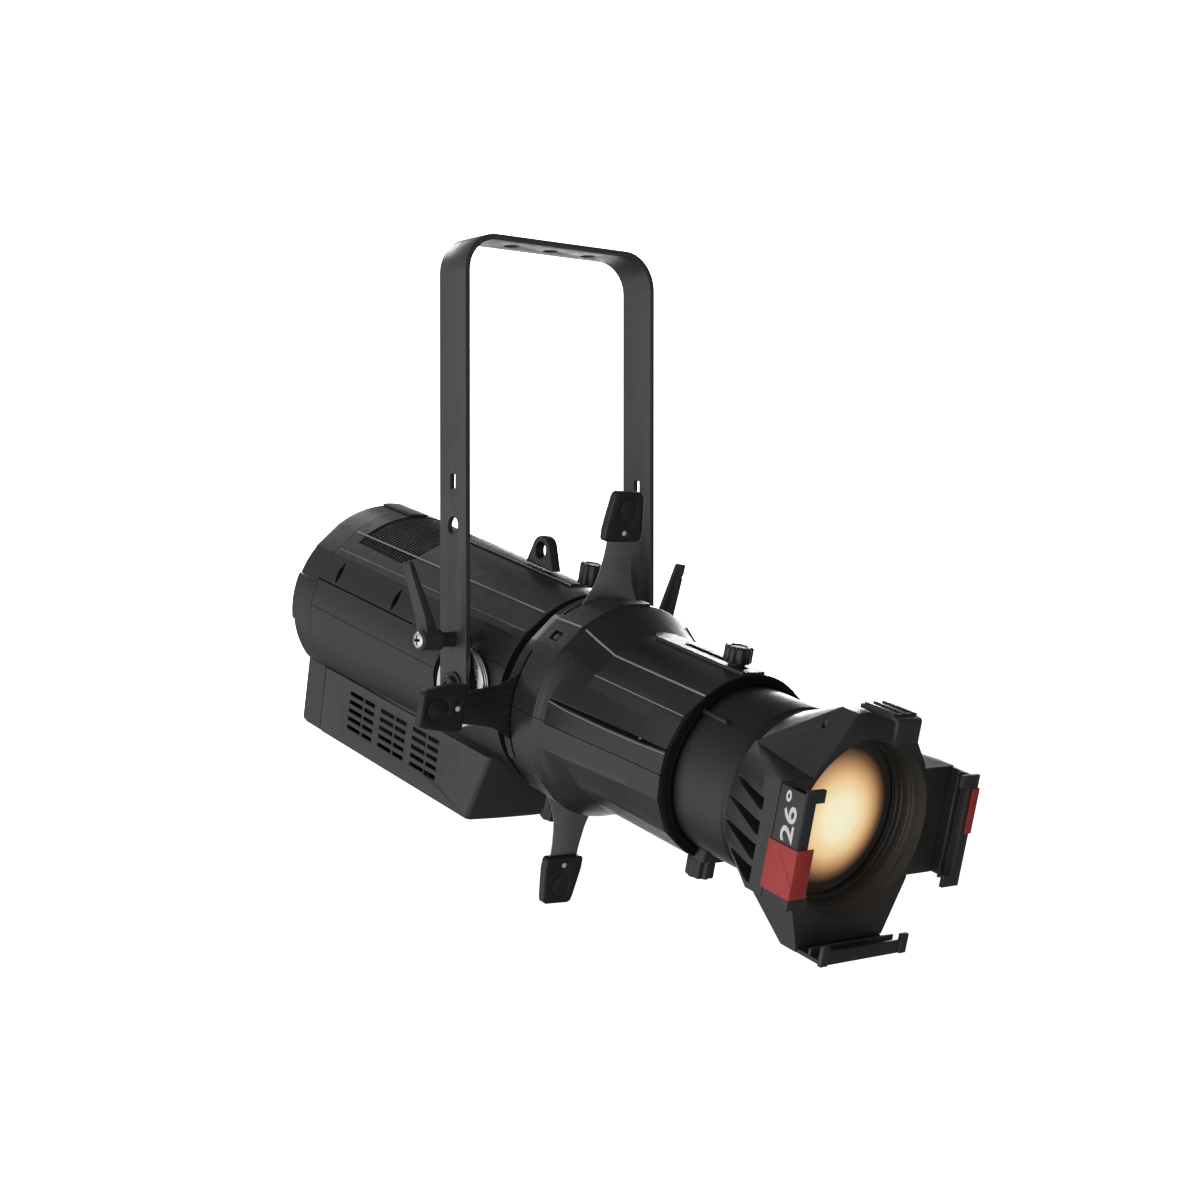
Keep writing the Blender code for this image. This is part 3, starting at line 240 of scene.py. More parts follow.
LOOKS = {
    # pale coat for the thin rods along the ridges: painted highlight lines
    "edge": coated("painted_highlight_coat", (0.300, 0.300, 0.304), 0.30, 1500, 0.02, wear_and_highlight=0.2),
    "strap": coated("strap_coat", (0.052, 0.052, 0.053), 0.36, 1100, 0.40),
    "shell": coated("shell_coat", (0.024, 0.024, 0.025), 0.32, 1500, 0.25),
    "box": coated("box_coat", (0.036, 0.036, 0.037), 0.40, 1500, 0.25),
    "barrel": coated("barrel_coat", (0.030, 0.030, 0.031), 0.32, 1500, 0.25),
    "tube": coated("tube_plastic", (0.024, 0.024, 0.025), 0.32, 1700, 0.20, wear_and_highlight=0.2),
    "holder": coated("holder_plastic", (0.033, 0.033, 0.034), 0.36, 1500, 0.20, wear_and_highlight=0.3),
    "grip": coated("grip_plastic", (0.018, 0.018, 0.018), 0.42, 1400, 0.12, wear_and_highlight=0.25),
    "knob": coated("knob_plastic", (0.020, 0.020, 0.020), 0.36, 1600, 0.06, wear_and_highlight=0.3),
    "lever": coated("lever_plastic", (0.040, 0.040, 0.041), 0.46, 1500, 0.10, wear_and_highlight=0.3),
    # near-black matte look for the dark rings and pads; it also paints shade on the liner behind
    # the shell seam and in the lever screws' cross recesses
    "ring": coated("ring_plastic_and_painted_shade", (0.004, 0.004, 0.004), 0.75, 900, 0.08, wear_and_highlight=0.0,
                   specular=0.15),
    "grille": coated("grille_plastic", (0.012, 0.012, 0.012), 0.55, 1500, 0.06, wear_and_highlight=0.2),
    "blade": metal("blade_steel_look", (0.34, 0.34, 0.345), 0.36, (1.0, 1.0, 14.0)),
    # darker copy of the same blade steel: lit and shaded copies, with the left and right blades
    # painted darker as shade
    "blade_painted_shade": metal("blade_painted_shade_look", (0.10, 0.10, 0.105), 0.36, (1.0, 1.0, 14.0)),
    "zinc": metal("zinc_plate", (0.80, 0.80, 0.80), 0.22, (6.0, 6.0, 6.0)),
    "zinc_dark": metal("zinc_dark", (0.22, 0.22, 0.22), 0.34, (6.0, 6.0, 6.0)),
    "fins": metal("fin_aluminium", (0.62, 0.62, 0.63), 0.34, (1.0, 14.0, 1.0)),
    # white for the printed beam angle, and for the dots in the grip holes that paint the
    # backdrop's light
    "white": coated("white_print_and_painted_light", (0.80, 0.80, 0.80), 0.50, 1500, 0.03, 0.03, 0.0),
    "red": coated("red_paint", (0.42, 0.034, 0.030), 0.40, 1200, 0.06, 0.10, 0.25),
    "board": coated("circuit_board", (0.010, 0.060, 0.022), 0.40, 900, 0.06, 0.35, 0.2),
    "screen": screen_glass(),
    # both lenses carry a painted glow on the glass
    "glass": glowing("front_glass", FRONT_GLOW, 0.92),
    "glow": glowing("rear_glass", REAR_GLOW, 0.30),
    "turned": metal("turned_aluminium", (0.86, 0.86, 0.86), 0.24, (1.0, 9.0, 9.0)),
    "bright": metal("bright_reflector", (0.9, 0.9, 0.9), 0.12, (2.0, 9.0, 2.0)),
}


# ---------------------------------------------------------------- light and camera
CAMERA_PLACE = (-0.9755, -1.2653, -0.2702)
CAMERA_TURN = (-39.1094, 0.7945, 0.0151)        # azimuth, pitch and roll in degrees
CAMERA_LENS = 57.94                             # millimetres on a 36 mm sensor


def make_camera():
    """Stands at lens height in front and to the left, level with the lamp."""
    azimuth, pitch, roll = (math.radians(angle) for angle in CAMERA_TURN)
    back = Vector((math.sin(azimuth) * math.cos(pitch), -math.cos(azimuth) * math.cos(pitch),
                   math.sin(pitch)))
    right = Vector((math.cos(azimuth), math.sin(azimuth), 0.0))
    up = back.cross(right)
    right_rolled = right * math.cos(roll) + up * math.sin(roll)
    up_rolled = up * math.cos(roll) - right * math.sin(roll)
    data = bpy.data.cameras.new("camera")
    data.sensor_width = 36.0
    data.lens = CAMERA_LENS
    data.clip_start = 0.01
    camera = bpy.data.objects.new("camera", data)
    place = Matrix((right_rolled, up_rolled, back)).transposed().to_4x4()
    place.translation = CAMERA_PLACE
    camera.matrix_world = place
    bpy.context.scene.collection.objects.link(camera)
    bpy.context.scene.camera = camera


def area_light(name, place, size, power, height=None):
    """Rectangular light that faces the middle of the lamp."""
    data = bpy.data.lights.new(name, "AREA")
    data.shape = "RECTANGLE"
    data.size = size
    data.size_y = height or size
    data.energy = power
    light = bpy.data.objects.new(name, data)
    light.location = place
    aim = Vector(LAMP_CENTRE) - Vector(place)
    light.rotation_euler = aim.to_track_quat("-Z", "Y").to_euler()
    bpy.context.scene.collection.objects.link(light)


LAMP_CENTRE = (0.0, 0.0, -0.35)
AMBIENT = 0.09                         # even light from all round
BACKDROP = 1.5                         # brightness of the background behind the lamp
# Soft patches of studio light: (direction, how narrow, how strong)
PATCHES = (((0.80, 0.60, -0.05), 8.0, 1.9), ((-0.95, -0.15, -0.22), 3.4, 1.45),
           ((-0.60, 0.75, -0.30), 8.0, 0.60), ((-0.20, -0.95, -0.25), 3.0, 0.30),
           ((-0.42, 0.77, 0.45), 5.0, 0.28))
FLOOR_SPAN, FLOOR_Z = 14.0, -1.6


def lobe(tree, coords, direction, power, gain):
    """Soft patch of studio light round a direction."""
    facing = tree.add("ShaderNodeVectorMath", operation="DOT_PRODUCT")
    tree.link(coords, "Generated", facing, 0)
    facing.inputs[1].default_value = Vector(direction).normalized()
    front = tree.calc("MAXIMUM", facing, "Value", 0.0)
    narrow = tree.calc("POWER", front, 0, power)
    return tree.calc("MULTIPLY", narrow, 0, gain)


def add_up(tree, first, second):
    both = tree.add("ShaderNodeMath", operation="ADD")
    tree.link(first, 0, both, 0)
    tree.link(second, 0, both, 1)
    return both


def make_floor():
    """Pale floor, well below the hanging lamp."""
    mesh = bpy.data.meshes.new("floor")
    corners = [(x * FLOOR_SPAN, y * FLOOR_SPAN, FLOOR_Z)
               for x, y in ((-1, -1), (1, -1), (1, 1), (-1, 1))]
    mesh.from_pydata(corners, [], [(0, 1, 2, 3)])
    floor = bpy.data.objects.new("floor", mesh)
    material, nodes, shader = new_material("floor_paint")
    coords = nodes.add("ShaderNodeTexCoord")
    cloud = noise(nodes, coords, 0.8, 3.0)
    tint = ramp(nodes, cloud, "Fac", [(0.3, 0.90), (0.7, 0.93)])
    nodes.link(tint, "Color", shader, "Base Color")
    shader.inputs["Roughness"].default_value = 0.8
    mesh.materials.append(material)
    bpy.context.scene.collection.objects.link(floor)
    floor.visible_diffuse = False
    floor.visible_glossy = False
    white = nodes.add("ShaderNodeLightPath")
    nodes.link(white, "Is Camera Ray", shader, "Emission Strength")
    shader.inputs["Emission Color"].default_value = (1.0, 1.0, 1.0, 1.0)


def make_light():
    """White surroundings with soft patches of light, and two lights behind the lamp."""
    world = bpy.data.worlds.new("studio")
    world.use_nodes = True
    tree = Nodes(world.node_tree)
    sky = world.node_tree.nodes["Background"]
    sky.inputs["Color"].default_value = (1.0, 1.0, 1.0, 1.0)
    around = tree.add("ShaderNodeTexCoord")
    lobes = [lobe(tree, around, *patch) for patch in PATCHES]
    total = lobes[0]
    for patch in lobes[1:]:
        total = add_up(tree, total, patch)
    path = tree.add("ShaderNodeLightPath")
    level = tree.calc("MULTIPLY_ADD", path, "Is Camera Ray", BACKDROP)
    level.inputs[2].default_value = AMBIENT
    tree.link(add_up(tree, total, level), 0, sky, "Strength")
    bpy.context.scene.world = world
    bpy.context.scene.view_settings.view_transform = "Standard"
    area_light("rim_back_right", (1.7, 1.5, 0.20), 0.7, 20)
    area_light("ridge_strip", (0.30, 2.0, 1.05), 0.9, 7, height=0.10)


# ---------------------------------------------------------------- mesh helpers
WELD = 1e-6                            # points closer than this are one


def swap(point, axis, height):
    """Point in space from two coordinates and a height along an axis."""
    u, v = point
    if axis == "X":
        return (height, u, v)
    if axis == "Y":
        return (u, height, v)
    return (u, v, height)


def prism(outline, axis, low, high, shape=None):
    """Extrude an outline along an axis: (y, z) for X, (x, z) for Y, (x, y) for Z."""
    shape = shape or bmesh.new()
    bottom = [shape.verts.new(swap(point, axis, low)) for point in outline]
    top = [shape.verts.new(swap(point, axis, high)) for point in outline]
    for i in range(len(outline)):
        shape.faces.new((bottom[i - 1], bottom[i], top[i], top[i - 1]))
    shape.faces.new(bottom)
    shape.faces.new(reversed(top))
    return shape


def block(low, high, shape=None):
    x0, y0, z0 = low
    x1, y1, z1 = high
    return prism([(x0, y0), (x1, y0), (x1, y1), (x0, y1)], "Z", z0, z1, shape)


def circle(radius, count, centre=(0.0, 0.0)):
    step = 2 * math.pi / count
    return [(centre[0] + radius * math.cos(i * step),
             centre[1] + radius * math.sin(i * step)) for i in range(count)]


def rod(axis, radius, low, high, centre=(0.0, 0.0), count=32, shape=None):
    return prism(circle(radius, count, centre), axis, low, high, shape)


def loft(rings):
    """Closed solid through rings of points that all have the same count."""
    shape = bmesh.new()
    add_strip(shape, rings)
    return shape


def add_strip(shape, rings):
    """Add a closed solid through rings of points to a shape."""
    loops = [[shape.verts.new(point) for point in ring] for ring in rings]
    for lower, upper in zip(loops, loops[1:]):
        for i in range(len(lower)):
            shape.faces.new((lower[i - 1], lower[i], upper[i], upper[i - 1]))
    shape.faces.new(loops[0])
    shape.faces.new(reversed(loops[-1]))


def turned(profile, axis="Y", count=96, closed=True):
    """Solid of a (radius, height) profile spun round an axis."""
    shape = bmesh.new()
    verts = [shape.verts.new(swap((radius, 0.0), axis, height)) for radius, height in profile]
    edges = [shape.edges.new(pair) for pair in zip(verts, verts[1:])]
    if closed:
        edges.append(shape.edges.new((verts[-1], verts[0])))
    bmesh.ops.spin(shape, geom=verts + edges, cent=(0, 0, 0), axis=Vector(swap((0, 0), axis, 1)),
                   dvec=(0, 0, 0), angle=2 * math.pi, steps=count, use_merge=True)
    bmesh.ops.remove_doubles(shape, verts=shape.verts, dist=WELD)
    return shape


def arc(centre, radius, first, last, count):
    points = []
    for i in range(count + 1):
        angle = math.radians(first + (last - first) * i / count)
        points.append((centre[0] + radius * math.cos(angle),
                       centre[1] + radius * math.sin(angle)))
    return points


def mix(a, b, t):
    return a + (b - a) * t


def mix_point(a, b, t):
    return (mix(a[0], b[0], t), mix(a[1], b[1], t))


def mirror_x(points):
    return [(-x, z) for x, z in reversed(points)]


def at_height(ring, y):
    return [(x, y, z) for x, z in ring]


def turn(shape, angle, axis, centre=(0, 0, 0)):
    bmesh.ops.rotate(shape, verts=shape.verts, cent=centre,
                     matrix=Matrix.Rotation(math.radians(angle), 3, axis))
    return shape


def to_mesh(name, shape):
    bmesh.ops.remove_doubles(shape, verts=shape.verts, dist=WELD)
    bmesh.ops.dissolve_degenerate(shape, dist=WELD, edges=shape.edges)
    bmesh.ops.recalc_face_normals(shape, faces=shape.faces)
    mesh = bpy.data.meshes.new(name)
    shape.to_mesh(mesh)
    shape.free()
    return mesh


def merge(shape, extra):
    """Move the geometry of one bmesh into another."""
    mesh = to_mesh("extra", extra)
    shape.from_mesh(mesh)
    bpy.data.meshes.remove(mesh)
    return shape


def mirrored(shape):
    """Mirror a shape across the lamp's middle plane."""
    bmesh.ops.scale(shape, verts=shape.verts, vec=(-1, 1, 1))
    bmesh.ops.reverse_faces(shape, faces=shape.faces)
    return shape


def apply_modifiers(item):
    """Replace an object's mesh by its evaluated one and drop its modifiers."""
    bpy.context.view_layer.update()
    graph = bpy.context.evaluated_depsgraph_get()
    mesh = bpy.data.meshes.new_from_object(item.evaluated_get(graph))
    old = item.data
    item.modifiers.clear()
    item.data = mesh
    mesh.name = item.name
    bpy.data.meshes.remove(old)


def combine(item, shape, operation="DIFFERENCE"):
    """Boolean a shape, in the item's own frame, into the item."""
    tool = bpy.data.objects.new("tool", to_mesh("tool", shape))
    bpy.context.scene.collection.objects.link(tool)
    modifier = item.modifiers.new("boolean", "BOOLEAN")
    modifier.operation = operation
    modifier.object = tool
    modifier.solver = "EXACT"
    apply_modifiers(item)
    mesh = tool.data
    bpy.data.objects.remove(tool)
    bpy.data.meshes.remove(mesh)


def soften(item, width, angle=32.0, segments=2, dissolve=0.2):
    """Join flat faces, round the sharp edges and shade the rest smooth."""
    shape = bmesh.new()
    shape.from_mesh(item.data)
    bmesh.ops.remove_doubles(shape, verts=shape.verts, dist=2 * WELD)
    if dissolve > 0:
        bmesh.ops.dissolve_limit(shape, angle_limit=math.radians(dissolve), verts=shape.verts,
                                 edges=shape.edges, delimit={"NORMAL"})
    shape.to_mesh(item.data)
    shape.free()
    if width > 0:
        modifier = item.modifiers.new("soft_edges", "BEVEL")
        modifier.width = width
        modifier.segments = segments
        modifier.limit_method = "ANGLE"
        modifier.angle_limit = math.radians(angle)
        modifier.use_clamp_overlap = True
        modifier.harden_normals = False
        apply_modifiers(item)
    item.data.shade_smooth()
    item.data.set_sharp_from_angle(angle=math.radians(angle + 6))


def add_piece(name, shape, look, body, place=OPTIC, replaces=(), soft=0.0004,
              angle=32.0, cuts=(), joins=(), segments=2, dissolve=0.0):
    """Make a detailed piece, ride it on a body and let it stand for CAD nodes."""
    item = bpy.data.objects.new(name, to_mesh(name, shape))
    bpy.context.scene.collection.objects.link(item)
    for extra in joins:
        combine(item, extra, "UNION")
    for extra in cuts:
        combine(item, extra, "DIFFERENCE")
    soften(item, soft, angle, segments, dissolve)
    item.data.materials.clear()
    item.data.materials.append(LOOKS[look])
    item.data.transform(place)
    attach(item, body)
    if replaces:
        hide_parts(*replaces)


NODE_BODY = {}
for body_name, body_nodes in frame["record"]["behaviour"]["bodies"].items():
    for node_name in body_nodes:
        NODE_BODY[node_name] = body_name


def refine(node, look, soft=0.0004, angle=32.0):
    """A CAD node's shape with its flats joined and its edges rounded."""
    shape = bmesh.new()
    shape.from_mesh(frame["nodes"][node].data)
    bmesh.ops.remove_doubles(shape, verts=shape.verts, dist=2 * WELD)
    add_piece(node + "_detail", shape, look, NODE_BODY[node], WORLD, (node,), soft, angle,
              dissolve=0.2)


# ---------------------------------------------------------------- the housing
SHELL_FRONT, SHELL_REAR, CAP_REAR = -0.043, 0.238, 0.270
# Corners of the housing's outline, as (x, z) at its front and at its rear
CROWN = ((0.0, 0.0832), (0.0, 0.0862))
RIDGE = ((0.0476, 0.0676), (0.0540, 0.0679))
SHOULDER = ((0.0648, 0.0528), (0.0696, 0.0521))
FLANK = ((0.0840, -0.0010), (0.0905, -0.0020))
HAUNCH = ((0.0620, -0.0555), (0.0700, -0.0555))
BAND_LOW, SEAM = 0.0474, 0.0240        # heights of the shoulder's edge and the shells' seam


def circle_through(a, b, c):
    """Centre and radius of the circle through three points."""
    d = 2 * (a[0] * (b[1] - c[1]) + b[0] * (c[1] - a[1]) + c[0] * (a[1] - b[1]))
    aa, bb, cc = (p[0] ** 2 + p[1] ** 2 for p in (a, b, c))
    x = (aa * (b[1] - c[1]) + bb * (c[1] - a[1]) + cc * (a[1] - b[1])) / d
    z = (aa * (c[0] - b[0]) + bb * (a[0] - c[0]) + cc * (b[0] - a[0])) / d
    return (x, z), math.hypot(a[0] - x, a[1] - z)


def inward(points, wall):
    """Points moved toward the optical axis by a wall thickness."""
    return [(x * (1 - wall / math.hypot(x, z)), z * (1 - wall / math.hypot(x, z)))
            for x, z in points]


def housing_points(y):
    """Crown, ridge, shoulder, flank and haunch of the outline at a place along the axis."""
    t = min(1.0, (y - SHELL_FRONT) / (SHELL_REAR - SHELL_FRONT))
    side = min(1.0, (y - SHELL_FRONT) / 0.085)
    crown, ridge, shoulder, haunch = (mix_point(p[0], p[1], t)
                                      for p in (CROWN, RIDGE, SHOULDER, HAUNCH))
    return crown, ridge, shoulder, mix_point(FLANK[0], FLANK[1], side), haunch


def crown_arc(y, count=40):
    crown, ridge = housing_points(y)[:2]
    centre, radius = circle_through(ridge, crown, (-ridge[0], ridge[1]))
    angle = math.degrees(math.atan2(ridge[1] - centre[1], ridge[0]))
    return arc(centre, radius, angle, 180 - angle, count)


def flank_arc(y, high, low, count):
    shoulder, flank, haunch = housing_points(y)[2:]
    centre, radius = circle_through(shoulder, flank, haunch)
    first = math.degrees(math.asin((min(high, shoulder[1]) - centre[1]) / radius))
    last = math.degrees(math.asin((max(low, haunch[1]) - centre[1]) / radius))
    return arc(centre, radius, first, last, count)


def over_seam(y, seam):
    """Whole outline above a seam, from the right seam over the crown to the left one."""
    flank = flank_arc(y, BAND_LOW, seam, 12)
    flank[0] = inward(flank[:1], -0.0005)[0]
    side = list(reversed(flank)) + [housing_points(y)[2]]
    return side + crown_arc(y) + mirror_x(side)


def shell_ring(outer, wall, y):
    return at_height(outer + list(reversed(inward(outer, wall))), y)


def shell_wall(y):
    return 0.0065 if y < 0.075 else 0.003


def spread(first, last, count):
    return [mix(first, last, i / count) for i in range(count + 1)]


def pivot_recess():
    """Round recesses in both flanks for the friction discs."""
    shape = rod("X", 0.0400, 0.0850, 0.1000, (-OPTIC_Y, -OPTIC_Z), 96)
    return rod("X", 0.0400, -0.1000, -0.0850, (-OPTIC_Y, -OPTIC_Z), 96, shape)


def crescents():
    """Pointed vents through both upper flanks."""
    shape = bmesh.new()
    steps = 10
    for middle in (0.2128, 0.1212):
        for side in (-1, 1):
            right, left = [], []
            for i in range(steps + 1):
                t = mix(-1, 1, i / steps)
                bulge = 0.0031 * (1 - t * t) + 0.00002
                lean = middle + 0.0012 * t
                right.append((lean - bulge, 0.0352 + 0.0096 * t))
                left.append((lean + bulge, 0.0352 + 0.0096 * t))
            low, high = sorted((side * 0.060, side * 0.100))
            prism(right + list(reversed(left)), "X", low, high, shape)
    return shape


def build_shells():
    """Upper and lower shells, thick-walled at the front where the pivots sit."""
    rings = []
    for y in sorted(spread(SHELL_FRONT, SHELL_REAR, 14) + [0.0740, 0.0751, 0.0840, 0.0842]):
        seam = SEAM + (0.0010 if y > 0.0841 else 0.0002)
        rings.append(shell_ring(over_seam(y, seam), shell_wall(y), y))
    window = [(-0.0605, 0.2210), (-0.0605, 0.1520), (-0.0520, 0.1380),
              (0.0520, 0.1380), (0.0605, 0.1520), (0.0605, 0.2210)]
    hole = rod("Z", 0.0011, 0.080, 0.092, (-0.0055, 0.0205), 16)
    add_piece("shell_top", loft(rings), "shell", "housing", replaces=("upper_shell",),
              soft=0.0006, angle=6.0, segments=3,
              cuts=(prism(window, "Z", 0.050, 0.100), pivot_recess(), crescents(), hole))

    rings = []
    for y in sorted(spread(SHELL_FRONT, SHELL_REAR, 14) + [-0.0255, -0.0248, 0.0740, 0.0751]):
        flank = flank_arc(y, SEAM - 0.0002, -1.0, 24)
        if y < -0.025:
            haunch = flank[-1]
            angle = math.degrees(math.atan2(haunch[1], haunch[0]))
            floor = arc((0, 0), math.hypot(*haunch), angle, -180 - angle, 24)[1:-1]
        else:
            floor = [(0.066 * mix(1, -1, i / 22), -0.0580) for i in range(23)]
        rings.append(shell_ring(flank + floor + mirror_x(flank), shell_wall(y), y))
    add_piece("shell_low", loft(rings), "shell", "housing", replaces=("lower_shell",),
              soft=0.0005, angle=9.0,
              cuts=(pivot_recess(), seam_grooves()))


def seam_grooves():
    """Shallow line along each flank where the side panel meets the lower shell."""
    shape = bmesh.new()
    for side in (-1, 1):
        outer, inner = [], []
        for y in (0.0380, 0.0600, 0.1200, 0.1800, 0.2390):
            x = flank_arc(y, 0.0, -0.001, 1)[0][0]
            outer.append((side * (x + 0.002), y))
            inner.append((side * (x - 0.0007), y))
        outline = outer + list(reversed(inner))
        prism(outline, "Z", -0.00030, 0.00030, shape)
    return shape


def build_seam_shade_liner():
    """Near-black strip inside each flank, behind the gap between the upper and lower shells:
    painted shade that keeps the gap dark.
    """
    shape = bmesh.new()
    for side in (-1, 1):
        rings = []
        for y in spread(0.0860, 0.2340, 8):
            wall = flank_arc(y, 0.0300, 0.0190, 4)
            ring = inward(wall, 0.0033) + list(reversed(inward(wall, 0.0041)))
            rings.append([(side * x, y, z) for x, z in ring])
        merge(shape, loft(rings))
    add_piece("seam_shade_liner", shape, "ring", "housing", soft=0.0)


def build_driver_core():
    """Covered power supply inside the driver box, behind its slots."""
    case = block((-0.0440, 0.0720, -0.1090), (0.0440, 0.2050, -0.0700))
    ribs = []
    for y in spread(0.0800, 0.1940, 12):
        ribs.append(block((-0.0452, y, -0.1060), (0.0452, y + 0.0030, -0.0730)))
    add_piece("driver_core", case, "grille", "housing", soft=0.0006,
              joins=ribs)


def build_cap():
    """Rear cap with its window for the panel and its socket openings."""
    def outline(y):
        high = flank_arc(y, BAND_LOW, 0.0225, 10)
        high[0] = inward(high[:1], -0.0005)[0]
        proud = 0.0018 * min(1.0, (y - SHELL_REAR) / 0.006)
        band = [(x + proud, z) for x, z in flank_arc(y, 0.0218, -0.020, 12)]
        low = flank_arc(y, -0.0202, -1.0, 12)
        box = [(0.0665, -0.0586), (0.0650, -0.1160), (0.0610, -0.1200)]
        right = [housing_points(y)[2]] + high + band + low + box
        return list(reversed(right)) + crown_arc(y) + mirror_x(list(reversed(right)))

    front = SHELL_REAR + 0.0005
    rings = [at_height(inward(outline(CAP_REAR), 0.0035), 0.2660),
             at_height(inward(outline(front), 0.0030), front)]
    for y in (front, 0.2410, 0.2450, 0.2540, 0.2620, 0.2670):
        rings.append(at_height(outline(y), y))
    for inset, y in ((0.0004, 0.2688), (0.0016, 0.2698), (0.0032, CAP_REAR)):
        rings.append(at_height(inward(outline(CAP_REAR), inset), y))
    openings = block((-0.0453, 0.26, -0.0073), (0.0453, 0.28, 0.0473))
    for x in (-0.0420, -0.0060):
        block((x - 0.0153, 0.26, -0.0998), (x + 0.0153, 0.28, -0.0762), openings)
    for x in (0.0230, 0.0495):
        rod("Y", 0.0108, 0.26, 0.28, (x, -0.0880), 48, openings)
    for row in range(5):
        z = -0.0210 - 0.0065 * row
        prism(capsule(0.0400, 0.0016, (0, z + 0.0016)), "Y", 0.26, 0.28, openings)
    add_piece("rear_cover", loft(rings), "shell", "housing", replaces=("rear_cap",),
              soft=0.0004, angle=9.0, cuts=(openings,))


def capsule(half, radius, centre=(0.0, 0.0)):
    """Outline of a round-ended slot."""
    right = arc((centre[0] + half - radius, centre[1]), radius, -90, 90, 10)
    left = arc((centre[0] - half + radius, centre[1]), radius, 90, 270, 10)
    return right + left


def build_strips():
    """Raised rib along the crown, in front of the grille and again behind it."""
    for name, low, high, stands in (("crown_rib_front", -0.0200, 0.1365, ("crown_strip",)),
                                    ("crown_rib_rear", 0.2215, 0.2685, ())):
        rings = []
        for y in (low, low + 0.0015, high - 0.0005, high):
            base = housing_points(y)[0][1]
            rise = base + (0.0003 if y == low else 0.0016)
            half = 0.0098
            top = [(half * mix(-1, 1, i / 6), rise - 0.0006 * mix(-1, 1, i / 6) ** 2)
                   for i in range(7)]
            under = [(half, base - 0.0003), (-half, base - 0.0003)]
            rings.append(at_height(top + under, y))
        add_piece(name, loft(rings), "shell", "housing", replaces=stands,
                  soft=0.0003, angle=20)


def build_grille():
    """Wire mesh of fine hoops over long bars that fills the window over the fan."""
    def edge(y):
        return 0.0600 if y > 0.152 else mix(0.0512, 0.0600, (y - 0.1385) / 0.0135)

    def surface(x, y, sink):
        centre, radius = circle_through(*crown_arc(y, 2))
        ridge, shoulder = housing_points(y)[1:3]
        if abs(x) <= ridge[0]:
            return centre[1] + math.sqrt((radius - sink) ** 2 - x * x)
        t = (abs(x) - ridge[0]) / (shoulder[0] - ridge[0])
        return mix(ridge[1], shoulder[1], t) - sink

    shape = bmesh.new()
    hoops = 21
    for k in range(hoops):
        y = 0.1395 + k * 0.0795 / (hoops - 1)
        half = edge(y)
        rings = []
        for i in range(41):
            x = mix(-half, half, i / 40)
            z = surface(x, y, 0.0007)
            rings.append([(x, y - 0.0008, z), (x, y + 0.0008, z), (x, y + 0.0008, z - 0.0012),
                          (x, y - 0.0008, z - 0.0012)])
        add_strip(shape, rings)
    for i in range(43):
        x = mix(-0.0592, 0.0592, i / 42)
        start = 0.1388 if abs(x) < 0.0512 else mix(0.1388, 0.1520, (abs(x) - 0.0512) / 0.009)
        rings = []
        for j in range(13):
            y = mix(start, 0.2205, j / 12)
            z = surface(x, y, 0.0015)
            rings.append([(x - 0.0005, y, z), (x + 0.0005, y, z), (x + 0.0005, y, z - 0.0010),
                          (x - 0.0005, y, z - 0.0010)])
        add_strip(shape, rings)
    add_piece("fan_grille", shape, "grille", "housing", replaces=("top_grille",),
              soft=0.0, angle=30)


def build_eye():
    """Safety eye on the crown, with its round hole."""
    outline = [(0.0130, 0.0868), (0.0505, 0.0872)]
    outline += arc((0.0330, 0.1010), 0.0118, 12, 164, 28)
    add_piece("safety_loop", prism(outline, "X", -0.0047, 0.0047), "shell", "housing",
              replaces=("safety_eye",), soft=0.0010, angle=30, segments=3,
              cuts=(rod("X", 0.0068, -0.02, 0.02, (0.0330, 0.1005), 48),))


def bead(points, radius, shape):
    """Thin round rib along a line of points."""
    rings = []
    for x, y, z in points:
        rings.append([(x + u, y, z + v) for u, v in circle(radius, 10)])
    merge(shape, loft(rings))


def build_housing_highlight_beads():
    """Thin raised rods in a pale coat along the crown's ridges, the crown strip and the shoulders:
    painted highlights on these edges.
    """
    shape = bmesh.new()
    for side in (-1, 1):
        stations = spread(-0.0400, 0.2360, 12)
        ridge = [(side * housing_points(y)[1][0], y, housing_points(y)[1][1] - 0.0001)
                 for y in stations]
        bead(ridge, 0.0008, shape)
        shoulder = [(side * housing_points(y)[2][0], y, housing_points(y)[2][1] - 0.0001)
                    for y in stations]
        bead(shoulder, 0.0003, shape)
        strip = [(side * 0.0095, y, housing_points(y)[0][1] + 0.0008)
                 for y in spread(-0.0190, 0.1360, 6)]
        bead(strip, 0.0004, shape)
    add_piece("crown_highlight_lines", shape, "edge", "housing", soft=0.0, angle=60)


def build_barrel_highlight_beads():
    """Thin raised rods in a pale coat along the ridges of the upper barrel and the side panels:
    painted highlights on these edges.
    """
    shape = bmesh.new()
    for side in (-1, 1):
        for lines in (((-0.0980, 53.5, 0.0862), (-0.1120, 53.0, 0.0795), (-0.1290, 52.4, 0.0725),
                       (-0.2000, 52.6, 0.0724), (-0.2325, 52.6, 0.0724)),
                      ((-0.1290, 34.8, 0.0752), (-0.2000, 34.8, 0.0757), (-0.2325, 34.8, 0.0759)),
                      ((-0.0600, 53.6, 0.0852), (-0.0925, 53.6, 0.0872)),
                      ((-0.1090, 11.4, 0.0872), (-0.1280, 10.6, 0.0858), (-0.1700, 10.4, 0.0813),
                       (-0.2040, 10.9, 0.0778), (-0.2325, 12.0, 0.0760))):
            radius = 0.0009 if lines[0][1] > 50 else 0.00045
            points = []
            for y, angle, reach in lines:
                spot = polar(reach, angle)
                points.append((side * spot.x, y, spot.y))
            bead(points, radius, shape)
    add_piece("barrel_highlight_lines", shape, "edge", "barrel", soft=0.0, angle=60)


